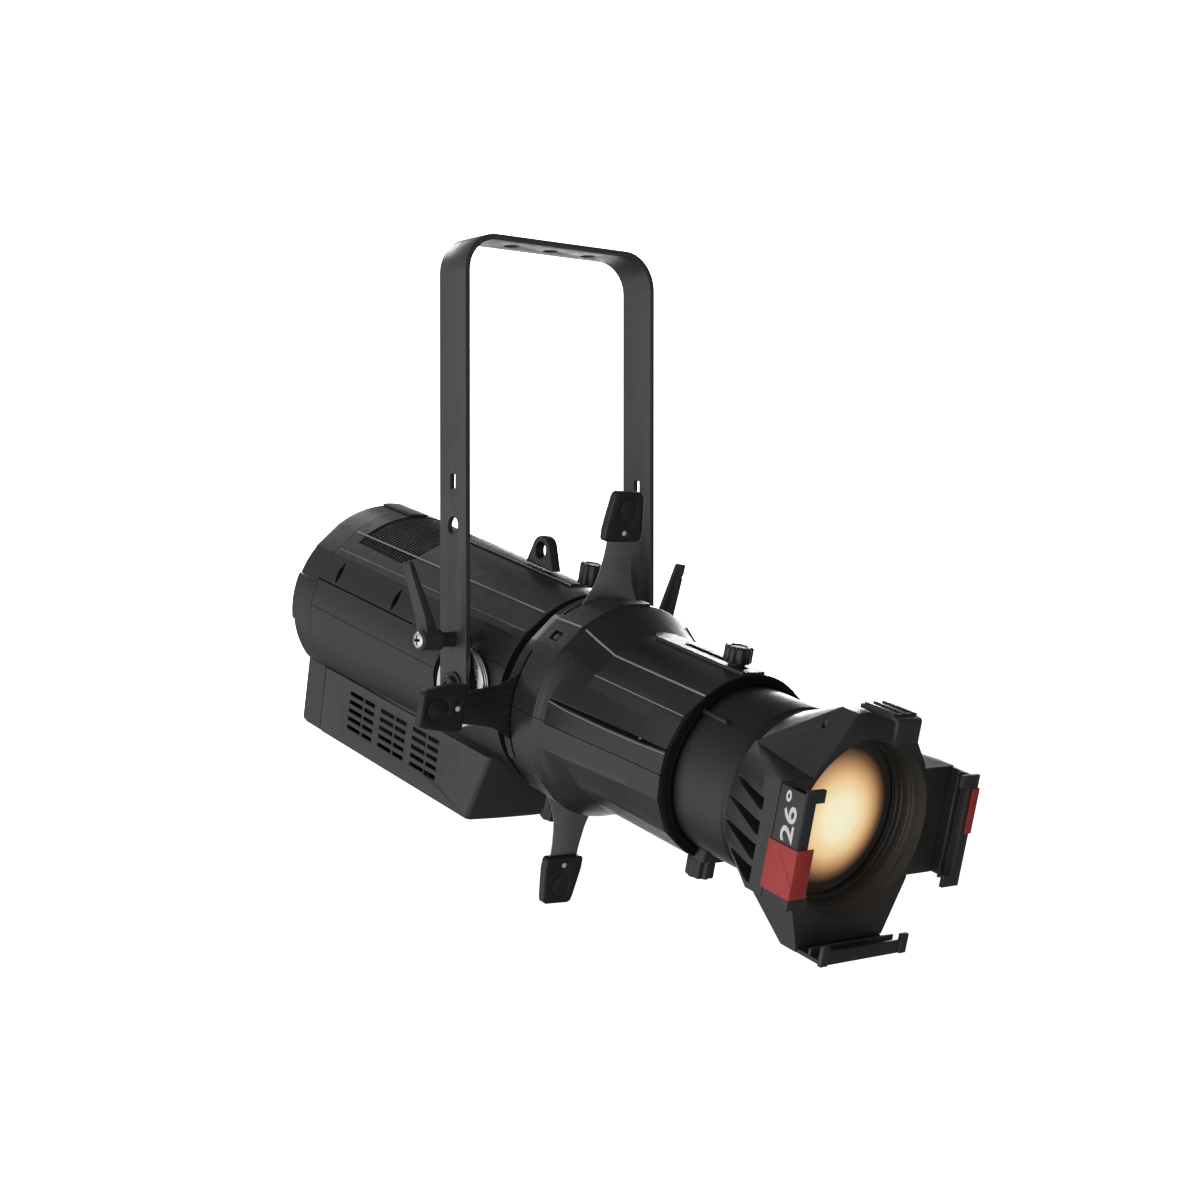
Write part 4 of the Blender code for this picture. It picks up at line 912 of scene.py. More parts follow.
# ---------------------------------------------------------------- barrel
# Stations along the axis, how far each is rounded off, and the radii of the outline there
BARREL_Y = (-0.0523, -0.0600, -0.0940, -0.0965, -0.1100, -0.1280, -0.2000, -0.2330)
BARREL_SOFT = (0.0, 0.0020, 0.0006, 0.0006, 0.0050, 0.0030, 0.0004, 0.0)
BARREL_ROUND = (0.0840, 0.0852, 0.0873, 0.0862, 0.0800, 0.0725, 0.0725, 0.0725)
BARREL_CORNER = (0.0842, 0.0856, 0.0878, 0.0868, 0.0825, 0.0752, 0.0757, 0.0759)
BARREL_SIDE_EDGE = (0.0840, 0.0850, 0.0872, 0.0871, 0.0874, 0.0858, 0.0788, 0.0765)
BARREL_SIDE = (0.0840, 0.0850, 0.0872, 0.0872, 0.0876, 0.0858, 0.0780, 0.0757)
BARREL_BORES = (0.0805, 0.0805, 0.0805, 0.0805, 0.0745, 0.0665, 0.0665, 0.0665)
# Angles above the horizontal, in degrees, where the outline's flats meet
SIDE_EDGE_AT, CORNER_AT, ROUND_FROM = 13.8, 35.0, 52.8
CHAMFER = (33.0, 36.6)


def polar(radius, angle):
    """Point at a radius and an angle in degrees."""
    return Vector((radius * math.cos(math.radians(angle)), radius * math.sin(math.radians(angle))))


def flat_radius(first, last, angle):
    """Radius at an angle on the straight line between two (angle, radius) points."""
    a, b, ray = polar(first[1], first[0]), polar(last[1], last[0]), polar(1.0, angle)
    along = b - a
    return (a.x * along.y - a.y * along.x) / (ray.x * along.y - ray.y * along.x)


SECTION = (spread(0.0, SIDE_EDGE_AT, 6) + spread(15.0, CHAMFER[0], 8)
           + spread(CHAMFER[1], ROUND_FROM, 5) + spread(54.5, 90.0, 22))


def barrel_radius(station, angle):
    """Radius of the barrel's outline at a station and an angle."""
    side, edge = (0.0, BARREL_SIDE[station]), (SIDE_EDGE_AT, BARREL_SIDE_EDGE[station])
    corner, top = (CORNER_AT, BARREL_CORNER[station]), (ROUND_FROM, BARREL_ROUND[station])
    if angle > ROUND_FROM:
        return top[1]
    if angle >= CHAMFER[1]:
        return flat_radius(corner, top, angle)
    if BARREL_Y[station] > -0.100:
        return BARREL_ROUND[station] + 0.0001
    if angle <= SIDE_EDGE_AT:
        return flat_radius(side, edge, angle)
    return flat_radius(edge, corner, angle)


def rounded(points, reach):
    """Polyline of tuples with every inner corner replaced by a short curve."""
    result = [points[0]]
    for before, here, after, size in zip(points, points[1:], points[2:], reach[1:]):
        back = min(0.45, size / abs(before[0] - here[0]))
        ahead = min(0.45, size / abs(after[0] - here[0]))
        start = [mix(h, b, back) for h, b in zip(here, before)]
        end = [mix(h, a, ahead) for h, a in zip(here, after)]
        for i in range(6):
            t = i / 5
            result.append(tuple(mix(mix(s, h, t), mix(h, e, t), t)
                                for s, h, e in zip(start, here, end)))
    return result + [points[-1]]


def sector(radii, heights, first, last, count):
    """Ring sector about the optical axis, between two radii, heights and angles."""
    outline = arc((0, 0), radii[1], first, last, count)
    outline += list(reversed(arc((0, 0), radii[0], first, last, count)))
    return prism(outline, "Y", heights[0], heights[1])


def swept(profile, first, last, count):
    """Solid of a (radius, y) profile swept about the optical axis between two angles."""
    rings = []
    for angle in spread(first, last, count):
        cos, sin = math.cos(math.radians(angle)), math.sin(math.radians(angle))
        rings.append([(r * cos, y, r * sin) for r, y in profile])
    return loft(rings)


def groove_tool(side):
    """Tapered notch along the side panels, pointed at both ends."""
    rings = []
    for y, high, low, depth in ((-0.1078, 13.0, 12.0, 0.0020), (-0.1200, 13.4, 10.8, 0.0050),
                                (-0.1700, 14.2, 10.4, 0.0066), (-0.2080, 14.6, 11.0, 0.0058),
                                (-0.2340, 14.8, 12.4, 0.0030)):
        t = (y + 0.1280) / (-0.2000 + 0.1280)
        if y > -0.1280:
            surface = 0.0872
        elif y > -0.2000:
            surface = mix(0.0858, 0.0790, t)
        else:
            surface = mix(0.0790, 0.0768, (y + 0.2) / -0.033)
        ring = [polar(surface + 0.0020, high), polar(surface - depth, mix(high, low, 0.18)),
                polar(surface + 0.0020, low)]
        rings.append([(side * p.x, y, p.y) for p in ring])
    return loft(rings)


def barrel_half(side):
    """One half shell of the barrel, above or below mid height."""
    quarter = []
    for station, y in enumerate(BARREL_Y):
        quarter.append((y, BARREL_BORES[station],
                        *(barrel_radius(station, angle) for angle in SECTION)))
    rings = []
    for y, bore, *radii in rounded(quarter, BARREL_SOFT):
        right = [(r * math.cos(math.radians(a)), max(r * math.sin(math.radians(a)), GAP))
                 for a, r in zip(SECTION, radii)]
        outer = right + mirror_x(right[:-1])
        inner = [(x / math.hypot(x, z) * bore, max(z / math.hypot(x, z) * bore, GAP))
                 for x, z in outer]
        ring = outer + list(reversed(inner))
        rings.append([(x, y, side * z) for x, z in ring])
    return loft(rings)


def knob_pad(side):
    """Flat pad that the focus knob's slot runs in, tapered at the rear."""
    low, high = sorted((side * 0.069, side * 0.0739))
    half_low, half_high = (0.0120, 0.0110) if side > 0 else (0.0110, 0.0120)
    section = ((-half_low, low), (half_low, low), (half_high, high), (-half_high, high))
    return loft([[(x * scale, y, z) for x, z in section]
                 for scale, y in ((0.15, -0.1215), (1.0, -0.1330), (1.0, -0.2325))])


def knob_slot(side):
    """Long slot for the focus knob's stem."""
    low, high = sorted((side * 0.060, side * 0.080))
    slot = turn(prism(capsule(0.0345, 0.0036), "Z", low, high), 90, "Z")
    bmesh.ops.translate(slot, verts=slot.verts, vec=(0, -0.1905, 0))
    return slot


def blade_slots(side):
    """Slots for the shutter blades that leave one half of the barrel."""
    low, high = sorted((side * 0.060, side * 0.099))
    openings = {"top" if side > 0 else "bottom": ((-0.046, low), (0.046, high)),
                "left": ((-0.099, -0.044), (-0.060, 0.044)),
                "right": ((0.060, -0.044), (0.099, 0.044))}
    slots = []
    for direction, ((x0, z0), (x1, z1)) in openings.items():
        y = SHUTTERS[direction][0]
        slots.append(block((x0, y - SLOT_HALF, z0), (x1, y + SLOT_HALF, z1)))
    return slots


def build_barrel():
    """Upper and lower half shells with their slots, grooves and pads."""
    for name, side, node in (("barrel_shell_top", 1, "barrel_upper"),
                             ("barrel_shell_low", -1, "barrel_lower")):
        cuts = [knob_slot(side)] + blade_slots(side)
        first, last = (36, 144) if side > 0 else (-144, -36)
        cuts.append(sector((0.0862, 0.0900), (-0.0951, -0.0944), first, last, 60))
        if side > 0:
            for angle in POCKETS_AT:
                pocket = block((0.0818, -0.0810, -0.0046), (0.0950, -0.0702, 0.0046))
                tick = block((0.0850, -0.0640, -0.0008), (0.0950, -0.0612, 0.0008))
                cuts += [turn(pocket, -angle, "Y"), turn(tick, -angle, "Y")]
        waist = [(0.0866, -0.0964), (0.0846, -0.1000), (0.0826, -0.1082), (0.0950, -0.1082),
                 (0.0950, -0.0964)]
        cuts += [swept(waist, -48, 48, 40), swept(waist, 132, 228, 40)]
        joins = [knob_pad(side)]
        if side > 0:
            cuts += [groove_tool(1), groove_tool(-1)]
            joins.append(block((-0.0105, -0.0950, 0.0800), (0.0120, -0.0850, 0.0886)))
        add_piece(name, barrel_half(side), "barrel", "barrel", replaces=(node,),
                  soft=0.0005, angle=6.5, joins=joins, cuts=cuts)


def build_barrel_fittings():
    """Screw heads, the ribbed rim of the flange and the front collar."""
    screws = bmesh.new()
    for side in (-1, 1):
        for y, radius in ((-0.1330, 0.0826), (-0.2040, 0.0770)):
            head = rod("X", 0.0019, radius - 0.004, radius - 0.0004, (y, 0), 20)
            turn(head, -14.6 if side > 0 else -165.4, "Y")
            merge(screws, head)
    for angle in POCKETS_AT:
        head = rod("X", 0.0030, 0.0814, 0.0842, (-0.0756, 0), 24)
        merge(screws, turn(head, -angle, "Y"))
    add_piece("barrel_screws", screws, "zinc_dark", "barrel", soft=0.0003)

    ribs = bmesh.new()
    pitch = 1.1                        # degrees from one rib to the next
    for first, last in ((56, 124), (-124, -56), (6, 33), (147, 174), (-33, -6), (-174, -147)):
        outline = []
        teeth = int((last - first) / pitch)
        for i in range(teeth * 2 + 1):
            angle = mix(first, last, i / (teeth * 2))
            outline.append(tuple(polar(0.0853 if i % 2 else 0.0846, angle)))
        inner = [tuple(polar(0.0836, mix(last, first, i / 30))) for i in range(31)]
        merge(ribs, prism(outline + inner, "Y", -0.0590, -0.0532))
    add_piece("flange_ribs", ribs, "barrel", "barrel", soft=0.0)

    profile = [(0.0651, -0.2334), (0.0712, -0.2334), (0.0716, -0.2340), (0.0716, -0.2350),
               (0.0708, -0.2356), (0.0690, -0.2358), (0.0686, -0.2362), (0.0686, -0.2368),
               (0.0678, -0.2372), (0.0651, -0.2372)]
    add_piece("front_collar", turned(profile, count=144), "ring", "barrel",
              replaces=("barrel_collar",), soft=0.0002)


# ---------------------------------------------------------------- lens end
def build_tube():
    """Sliding lens tube with the lens's retaining lip, a guide rail and a flat plate."""
    profile = [(TUBE_BORE, -0.1260), (TUBE_BORE, -0.3333), (0.0578, -0.3336), (0.0572, -0.3352),
               (0.0578, -0.3368), (0.0566, -0.3384), (0.0572, -0.3400), (TUBE_BORE, -0.3402),
               (TUBE_BORE, -0.3412), (0.0604, -0.3420), (0.0622, -0.3420), (0.0628, -0.3414),
               (0.0628, -0.2892), (TUBE_R, -0.2878),
               (TUBE_R, -0.1266), (0.0622, -0.1260)]
    rail = rod("Y", 0.0021, -0.2624, -0.2300, (0, 0.0664), 24)
    base = block((-0.0025, -0.2630, 0.0615), (0.0025, -0.2300, 0.0666))
    plate = prism([(-0.0300, -0.2300), (-0.0300, -0.2435), (-0.0285, -0.2450),
                   (-0.0115, -0.2450), (-0.0100, -0.2435), (-0.0100, -0.2300)],
                  "Z", -0.0668, -0.0560)
    add_piece("focus_tube", turned(profile, count=144), "tube", "lens", replaces=("lens_tube",),
              soft=0.0002, angle=25,
              joins=(turn(rail, -44.5, "Y"), turn(base, -44.5, "Y"), plate))


def build_lenses():
    """Front lens of clear glass and the rear lens deep inside the tube, both painted with a warm
    glow.
    """
    for name, node, look, rim, edge_y, bulge, back in (
            ("front_glass", "front_lens", "glass", 0.0588, -0.3318, 0.0090,
             ((0.0588, -0.3275), (0.0300, -0.3262), (0, -0.3258))),
            ("rear_glass", "rear_lens", "glow", 0.0586, -0.2560, 0.0080,
             ((0.0586, -0.2520), (0.0300, -0.2490), (0, -0.2480)))):
        face = []
        for i in range(17):
            radius = rim * i / 16
            face.append((radius, edge_y - bulge * (1 - (radius / rim) ** 2)))
        add_piece(name, turned(face + list(back), closed=False), look, "lens",
                  replaces=(node,), soft=0.0, angle=40)


def fin_pockets():
    """Tapered pockets between the fins on both cheeks of the holder."""
    shape = bmesh.new()
    for side in (-1, 1):
        for height, span in ((0.0200, 0.0090), (0.0030, 0.0100), (-0.0140, 0.0115),
                             (-0.0300, 0.0120)):
            near = [(side * x, -0.3480, height + rise) for x, rise in
                    ((0.0660, span / 2), (0.0660, -span / 2), (0.0900, -span / 2),
                     (0.0900, span / 2))]
            far = [(side * x, -0.2890, height + 0.004 + rise) for x, rise in
                   ((0.0640, 0.0006), (0.0640, -0.0006), (0.0900, -0.0006), (0.0900, 0.0006))]
            merge(shape, loft([near, far]))
    return shape


def hull(points):
    """Convex solid round a set of points."""
    shape = bmesh.new()
    for point in points:
        shape.verts.new(point)
    result = bmesh.ops.convex_hull(shape, input=shape.verts)
    inner = {item for item in result["geom_interior"] if isinstance(item, bmesh.types.BMVert)}
    bmesh.ops.delete(shape, geom=list(inner), context="VERTS")
    return shape


def build_holder():
    """Colour-frame holder: faceted cheeks with their pockets, and three clips."""
    face = HOLDER_FACE
    core = [(0.0240, 0.0840), (0.0545, 0.0420), (0.0575, -0.0420), (0.0420, -0.0600),
            (0.0412, -0.0864)]
    points = [(0.0649 * x, -0.2960, 0.0649 * z) for x, z in circle(1.0, 48)]
    for side in (-1, 1):
        points.append((side * 0.0475, -0.2990, 0.0482))
    for x, z in core + mirror_x(core):
        points += [(x, -0.3450, z), (x, face, z)]
    body = hull(points)
    wings = []
    for side in (-1, 1):
        points = []
        for angle in spread(-44, 44, 22):
            spot = polar(0.0646, angle)
            points.append((side * spot.x, -0.2930, spot.y))
        for x in (0.0400, 0.0855):
            for z in (-0.0400, 0.0400):
                points += [(side * x, -0.3450, z), (side * x, face, z)]
        wings.append(hull(points))
    bore = turned([(0.0, -0.2800), (0.0, -0.3700), (0.0650, -0.3700), (0.0650, face),
                   (0.0648, -0.3592), (0.0640, -0.3588), (0.0638, -0.3566), (0.0630, -0.3562),
                   (0.0628, -0.3545), (0.0614, -0.3540), (0.0612, -0.3520), (0.0606, -0.3514),
                   (0.0606, -0.3490), (0.0600, -0.3484), (0.0600, -0.3423), (0.0631, -0.3423),
                   (0.0631, -0.2800)], count=144, closed=False)
    ledges = block((0.0818, face - 0.0010, -0.0406), (0.0900, face + 0.0006, 0.0406))
    block((-0.0900, face - 0.0010, -0.0406), (-0.0818, face + 0.0006, 0.0406), ledges)
    block((-0.0440, face - 0.0010, -0.0900), (0.0440, face + 0.0006, -0.0826), ledges)
    eyelet = rod("Z", 0.0021, 0.050, 0.100, (-0.0335, -0.3413), 24)
    add_piece("frame_holder", body, "holder", "lens", replaces=("gel_holder",),
              soft=0.0007, angle=7.0, joins=wings,
              cuts=(bore, fin_pockets(), ledges, eyelet))
    for side in ("left", "right", "bottom"):
        refine(f"frame_clip_{side}", "holder", 0.0005, 25.0)


def build_latch():
    """Sprung latch over the frame slot, with its thumb ribs."""
    outline = [(-0.3500, 0.0846), (-0.3822, 0.0846), (-0.3828, 0.0840), (-0.3828, 0.0690),
               (-0.3842, 0.0682), (-0.3858, 0.0690), (-0.3858, 0.0850), (-0.3846, 0.0864),
               (-0.3820, 0.0870), (-0.3520, 0.0880), (-0.3500, 0.0872)]
    ribs = []
    for x in (-0.0098, -0.0012, 0.0074):
        ribs.append(block((x, -0.3800, 0.0855), (x + 0.0024, -0.3515, 0.0890)))
    ribs.append(block((-0.0118, -0.3800, 0.0860), (0.0118, -0.3782, 0.0886)))
    add_piece("latch_plate", prism(outline, "X", -0.0117, 0.0117), "holder", "latch",
              replaces=("gel_latch",), soft=0.0005, angle=25, joins=ribs)


def build_marks():
    """Beam angle on the left clip's pad, and the two red tags."""
    text = bpy.data.curves.new("angle_text", "FONT")
    text.body = "26°"
    text.size = 0.0175
    text.extrude = 0.00006
    text.align_x = "LEFT"
    text.offset = 0.00032
    letters = bpy.data.objects.new("angle_text", text)
    bpy.context.scene.collection.objects.link(letters)
    bpy.context.view_layer.update()
    mesh = bpy.data.meshes.new_from_object(letters.evaluated_get(
        bpy.context.evaluated_depsgraph_get()))
    bpy.data.objects.remove(letters)
    low = Vector([min(v.co[i] for v in mesh.vertices) for i in range(3)])
    high = Vector([max(v.co[i] for v in mesh.vertices) for i in range(3)])
    span = high - low
    fit = Matrix.Diagonal((0.0345 / span.x, 0.0122 / span.y, 1.0, 1.0))
    mesh.transform(fit @ Matrix.Translation(-low))
    face = Matrix(((0, 0, -1, -0.08615), (0, 1, 0, -0.3800), (1, 0, 0, 0.0030), (0, 0, 0, 1)))
    mesh.transform(face)
    shape = bmesh.new()
    shape.from_mesh(mesh)
    bpy.data.meshes.remove(mesh)
    add_piece("angle_mark", shape, "white", "lens", soft=0.0)

    for name, side, low, high, depth in (("red_tag_left", -1, -0.0335, 0.0010, 0.0150),
                                         ("red_tag_right", 1, -0.0020, 0.0318, 0.0065)):
        face, lip = 0.0858, -0.3858
        outline = [(face, -0.3592), (face + 0.0006, -0.3592), (face + 0.0006, lip - 0.0008),
                   (face - depth, lip - 0.0008), (face - depth, lip), (face, lip)]
        fold = block((side * (face + 0.0009) - 0.0008, -0.3930, -0.00040),
                     (side * (face + 0.0009) + 0.0008, -0.3500, 0.00040))
        turn(fold, 52 if side < 0 else 0, "X", (side * face, -0.3725, (low + high) / 2))
        bmesh.ops.translate(fold, verts=fold.verts, vec=(0, 0, (low + high) / 2))
        add_piece(name + "_paint", prism([(side * x, y) for x, y in outline], "Z", low, high),
                  "red", "lens", replaces=(name,), soft=0.00025, angle=30,
                  cuts=(fold,) if side < 0 else ())


# ---------------------------------------------------------------- knobs, levers, yoke
def build_knob(name, node, body, y, low, high, radius, side, stem=0.0):
    """Fluted knob on its stem, above or below the lamp."""
    count = 108
    lobes = []
    for i in range(count):
        angle = 2 * math.pi * i / count
        wave = math.cos(9 * angle)
        size = radius * (1.0 + 0.055 * wave - 0.030 * max(0.0, -wave) ** 2)
        lobes.append((size * math.cos(angle), size * math.sin(angle)))
    neck = circle(radius * 0.62, count)

    def ring(outline, scale, height):
        return [(x * scale, v * scale, height) for x, v in outline]

    rings = [ring(neck, 1, low), ring(neck, 1, low + 0.0022), ring(lobes, 0.94, low + 0.0022),
             ring(lobes, 1.0, low + 0.0030), ring(lobes, 1.0, high - 0.0014),
             ring(lobes, 0.97, high - 0.0006), ring(lobes, 0.90, high - 0.0001),
             ring(circle(radius * 0.60, count), 1, high),
             ring(circle(radius * 0.55, count), 1, high - 0.0006)]
    if stem > 0:
        pin = circle(0.0030, count)
        rings = [ring(pin, 1, stem), ring(pin, 1, low)] + rings
    shape = loft(rings)
    if side < 0:
        turn(shape, 180, "Y")
    bmesh.ops.translate(shape, verts=shape.verts, vec=(0, y, 0))
    add_piece(name, shape, "knob", body, replaces=(node,), soft=0.0,
              angle=30)


def build_lever(name, side, lean):
    """Tilt lever that leans by an angle in degrees, and the cross-head screw in its hub."""
    place = YOKE @ Matrix.Translation((0, 0, LEVER_RISE))
    inner = ARM_OUT + GAP
    hub = [(0.0034, inner), (0.0060, inner), (0.0060, 0.1100), (0.0078, 0.1104),
           (0.0086, 0.1116), (0.0086, 0.1180), (0.0082, 0.1190), (0.0082, 0.1290),
           (0.0076, 0.1298), (0.0034, 0.1298)]
    shape = turned(hub, "X", 64)
    rings = []
    for z, middle, thick, width in ((0.0030, 0.1215, 0.0150, 0.0150),
                                    (0.0120, 0.1220, 0.0126, 0.0146),
                                    (0.0200, 0.1235, 0.0105, 0.0135),
                                    (0.0450, 0.1290, 0.0080, 0.0108),
                                    (0.0605, 0.1323, 0.0062, 0.0092),
                                    (0.0618, 0.1325, 0.0050, 0.0080)):
        x, y, ridge = thick / 2, width / 2, thick * 0.16
        ring = [(x - ridge, y), (x, y * 0.4), (x, -y * 0.4), (x - ridge, -y), (-x + ridge, -y),
                (-x, -y * 0.4), (-x, y * 0.4), (-x + ridge, y)]
        rings.append([(middle + u, v, z) for u, v in ring])
    bar = turn(loft(rings), lean, "X")
    notch = turn(block((0.1200, -0.0080, 0.0500), (0.1420, -0.0034, 0.0525)), lean, "X")
    if side < 0:
        for part in (shape, bar, notch):
            mirrored(part)
    add_piece(f"lever_{name}_grip", shape, "lever", f"lever_{name}", place,
              (f"tilt_lever_{name}",), 0.0006, 25.0, joins=(bar,),
              cuts=(notch,) if side > 0 else ())
    bolt = [(0, 0.0919), (0.0080, 0.0919), (0.0080, ARM_IN - GAP), (0.0031, ARM_IN - GAP),
            (0.0031, 0.1301), (0.0066, 0.1301), (0.0066, 0.1308), (0.0058, 0.1317),
            (0.0036, 0.1323), (0, 0.1325)]
    screw = turned(bolt, "X", 48, False)
    cuts = [block((0.1307, -0.0010, -0.0042), (0.1351, 0.0010, 0.0042)),
            block((0.1307, -0.0042, -0.0010), (0.1351, 0.0042, 0.0010))]
    # Near-black cross at the bottom of the screw's cross recess: painted shade in the recess.
    cross = block((0.1308, -0.0009, -0.0040), (0.1312, 0.0009, 0.0040))
    block((0.1308, -0.0040, -0.0009), (0.1312, 0.0040, 0.0009), cross)
    if side < 0:
        for part in [screw, cross] + cuts:
            mirrored(part)
    add_piece(f"lever_{name}_cross", cross, "ring", f"lever_{name}", place,
              soft=0.0)
    add_piece(f"lever_{name}_screw", screw, "zinc", f"lever_{name}", place,
              (f"lever_bolt_{name}",), 0.0002, 25.0, cuts=cuts)


def build_yoke():
    """Bent strap with its bolt holes, arm slots and round feet."""
    half, top, foot = ARM_OUT, PIVOT_DROP, -STRAP_HALF
    bend = 0.031
    outer = [(half, foot)] + arc((half - bend, top - bend), bend, 0, 90, 28)
    inner = [(half - STRAP_THICK, foot)] + arc((half - bend, top - bend), bend - STRAP_THICK,
                                               0, 90, 28)
    outline = outer + mirror_x(outer) + list(reversed(inner + mirror_x(inner)))
    holes = rod("X", 0.0052, -0.12, 0.12, (0, 0), 48)
    rod("X", 0.0036, -0.12, 0.12, (0, LEVER_RISE), 32, holes)
    rod("X", 0.0070, -0.12, 0.12, (0, 0.1285), 48, holes)
    prism([(-0.0035, 0.1585), (-0.0028, 0.1578), (0.0028, 0.1578), (0.0035, 0.1585),
           (0.0035, 0.1691), (0.0028, 0.1698), (-0.0028, 0.1698), (-0.0035, 0.1691)],
          "X", -0.12, 0.12, holes)
    for x in (-0.0395, 0, 0.0395):
        rod("Z", 0.00625, 0.340, 0.380, (x, 0), 48, holes)
    feet = arc((0, 0), STRAP_HALF, 180, 360, 40) + [(0.022, 0), (0.022, -0.022), (-0.022, -0.022),
                                                 (-0.022, 0)]
    add_piece("yoke_strap", prism(outline, "Y", -STRAP_HALF, STRAP_HALF), "strap", "yoke", YOKE,
              ("yoke_bracket",), 0.0009, 25.0, segments=3,
              cuts=(holes, prism(feet, "X", -0.12, 0.12)))


def build_pivots():
    """Pivot bolts, their dark pads and the bright grooved friction discs."""
    for name, side in (("left", -1), ("right", 1)):
        flip = Matrix.Rotation(math.pi if side < 0 else 0, 4, "Z")
        place = YOKE @ flip
        bolt = [(0, 0.0862), (0.0048, 0.0862), (0.0048, ARM_OUT + GAP), (0.0123, ARM_OUT + GAP),
                (0.0125, ARM_OUT + 0.0008), (0.0123, ARM_OUT + 0.0016),
                (0.0094, ARM_OUT + 0.0018), (0.0092, ARM_OUT + 0.0052),
                (0.0084, ARM_OUT + 0.0062), (0.0048, ARM_OUT + 0.0066),
                (0.0044, ARM_OUT + 0.0048), (0, ARM_OUT + 0.0048)]
        add_piece(f"pivot_{name}_bolt", turned(bolt, "X", 64, False), "tube", "yoke", place,
                  (f"pivot_bolt_{name}",), 0.0003, 30.0)
        pad = [(0.0053, 0.0919), (0.0230, 0.0919), (0.0230, ARM_IN - GAP), (0.0053, ARM_IN - GAP)]
        add_piece(f"pivot_{name}_pad", turned(pad, "X", 72), "ring", "yoke", place,
                  (f"friction_pad_{name}",), 0.0003, 30.0)
        disc = [(0.0053, 0.0853), (0.0317, 0.0853), (0.0323, 0.0858), (0.0323, 0.0868),
                (0.0319, 0.0872), (0.0323, 0.0876), (0.0323, 0.0886), (0.0319, 0.0890),
                (0.0323, 0.0894), (0.0323, 0.0909), (0.0317, 0.0915), (0.0053, 0.0915)]
        add_piece(f"pivot_{name}_disc", turned(disc, "X", 128), "turned", "housing", place,
                  (f"friction_disc_{name}",), 0.0, 30.0)


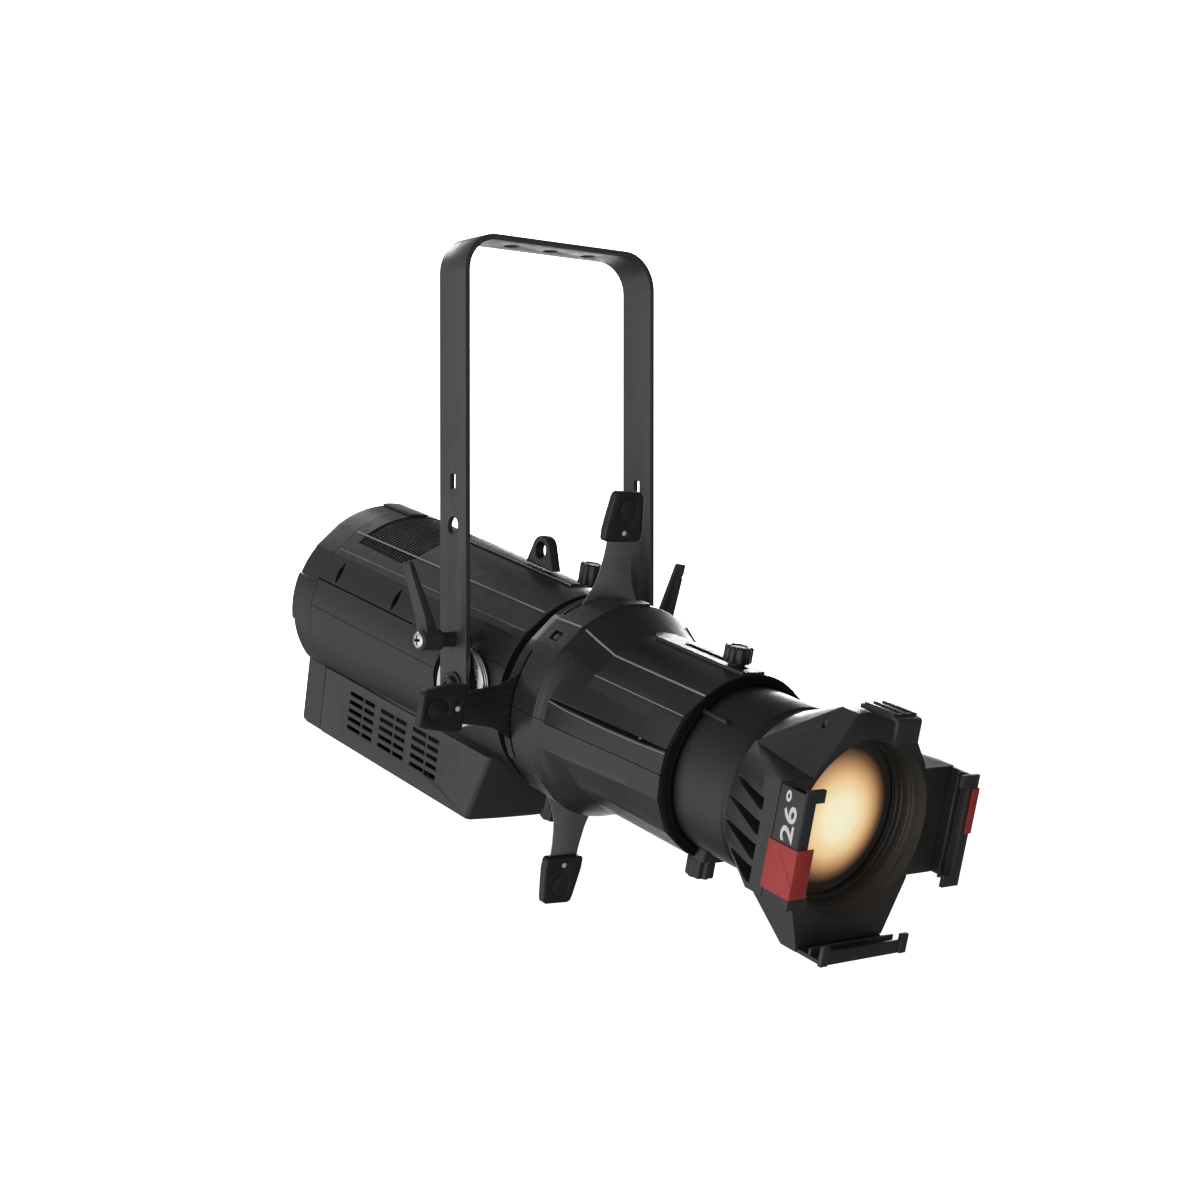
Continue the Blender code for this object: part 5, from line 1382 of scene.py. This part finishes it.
# ---------------------------------------------------------------- shutters
def build_shutters():
    """Four framing blades, each with a moulded grip, its oval inlays and a white dot in each grip
    hole that paints the backdrop's light seen through it.
    """
    edge = [(0.034, 0.0430), (0.034, 0.0640), (0.0326, 0.0700), (0.0296, 0.0768),
            (0.0265, 0.0830), (0.0233, 0.0882), (0.0205, 0.0930), (0.0184, 0.0980),
            (0.0168, 0.1030), (0.0157, 0.1085), (0.0150, 0.1140), (0.0142, 0.1200),
            (0.0138, 0.1260), (0.0136, 0.1385)]
    for direction, (plane, angle, shift, lean) in SHUTTERS.items():
        place = (OPTIC @ Matrix.Rotation(math.radians(angle), 4, "Y")
                 @ Matrix.Translation((shift, plane, 0))
                 @ Matrix.Rotation(math.radians(lean), 4, "Y"))
        body = "shutter_" + direction
        # Left and right blades take the darker copy of the steel as painted shade; top and bottom
        # take the paler copy.
        look = "blade_painted_shade" if direction in ("left", "right") else "blade"
        add_piece(f"blade_{direction}", prism(edge + mirror_x(edge), "Y", -BLADE_HALF, BLADE_HALF),
                  look, body, place, (f"shutter_blade_{direction}",), 0.0002, 30.0)

        side = [(0.0150, 0.1310), (0.0176, 0.1314), (0.0188, 0.1332), (0.0190, 0.1400),
                (0.0178, 0.1500), (0.0152, 0.1660), (0.0140, 0.1697), (0.0112, 0.1712)]
        rings = []
        for y, inset in ((-0.0040, 0.0022), (-0.0038, 0.0010), (-0.0029, 0.0), (0.0029, 0.0),
                         (0.0038, 0.0010), (0.0040, 0.0022)):
            ring = [(x - inset, z - math.copysign(inset, z - 0.150)) for x, z in side]
            rings.append(at_height(ring + mirror_x(ring), y))
        cuts = [block((-0.0139, -0.00075, 0.1200), (0.0139, 0.00075, 0.1388))]
        for way in (-1, 1):
            low, high = sorted((way * 0.0031, way * 0.0060))
            oval = [(x, z * 1.18 + 0.1560) for x, z in circle(0.0092, 48)]
            cuts.append(prism(oval, "Y", low, high))
            low, high = sorted((way * 0.0020, way * 0.0060))
            cuts.append(prism(circle(0.0026, 28, (0.0, 0.1382)), "Y", low, high))
        add_piece(f"grip_{direction}", loft(rings), "grip", body, place,
                  (f"shutter_grip_{direction}",), 0.0005, 25.0, cuts=cuts)

        inlay, backdrop_dot = bmesh.new(), bmesh.new()
        for way in (-1, 1):
            low, high = sorted((way * 0.0029, way * 0.0036))
            prism([(x, z * 1.18 + 0.1560) for x, z in circle(0.0080, 48)], "Y", low, high, inlay)
            low, high = sorted((way * 0.0018, way * 0.0039))
            # White pin in the grip's hole: painted backdrop light, as if seen through the hole.
            prism(circle(0.0021, 24, (0.0, 0.1382)), "Y", low, high, backdrop_dot)
        add_piece(f"grip_{direction}_inlay", inlay, "knob", body, place, (),
                  0.0003, 25.0)
        add_piece(f"grip_{direction}_rivet", backdrop_dot, "white", body, place, (),
                  0.0003, 25.0)


# ---------------------------------------------------------------- build
make_camera()
make_floor()
make_light()
build_shells()
build_seam_shade_liner()
build_driver_core()
build_cap()
build_strips()
build_grille()
build_eye()
build_housing_highlight_beads()
build_barrel()
build_barrel_fittings()
build_barrel_highlight_beads()
build_tube()
build_lenses()
build_holder()
build_latch()
build_marks()
for end, side, high in (("top", 1, 0.1055), ("bottom", -1, 0.1120)):
    build_knob(f"lock_grip_{end}", f"lock_knob_{end}", f"lock_{end}", LOCK_Y, 0.0864, high,
               0.0100, side)
for end, side, high in (("top", 1, 0.0885), ("bottom", -1, 0.0915)):
    build_knob(f"focus_grip_{end}", f"focus_knob_{end}", f"focus_{end}", FOCUS_Y, 0.0741, high,
               0.0105, side, TUBE_R + GAP)
build_lever("left", -1, -11.0)
build_lever("right", 1, 12.0)
build_yoke()
build_pivots()
build_shutters()

# Nodes whose CAD shape stays: (look, width of the rounded edges, slot)
KEPT_SHAPES = {
    "driver_box": ("box", 0.0007, "black_paint"),
    "bearing_ring": ("ring", 0.0003, "soft_black"),
    "gate_plate": ("ring", 0.0, "soft_black"),
    "rear_panel": ("grille", 0.0003, "soft_black"),
    "power_inlet": ("tube", 0.0005, "soft_black"),
    "power_outlet": ("tube", 0.0005, "soft_black"),
    "data_inlet": ("zinc", 0.0003, "aluminium"),
    "data_outlet": ("zinc", 0.0003, "aluminium"),
    "display_window": ("screen", 0.0002, "screen"),
    "fan_frame": ("grille", 0.0003, "soft_black"),
    "fan_rotor": ("grille", 0.0003, "soft_black"),
    "heat_sink": ("fins", 0.0003, "aluminium"),
    "led_board": ("board", 0.0002, "circuit"),
    "reflector": ("bright", 0.0, "bright_metal"),
}
for index in (1, 2, 3, 4):
    KEPT_SHAPES[f"menu_button_{index}"] = ("knob", 0.0003, "black_plastic")
for node, (look, width, slot_name) in KEPT_SHAPES.items():
    refine(node, look, width, 14.0)
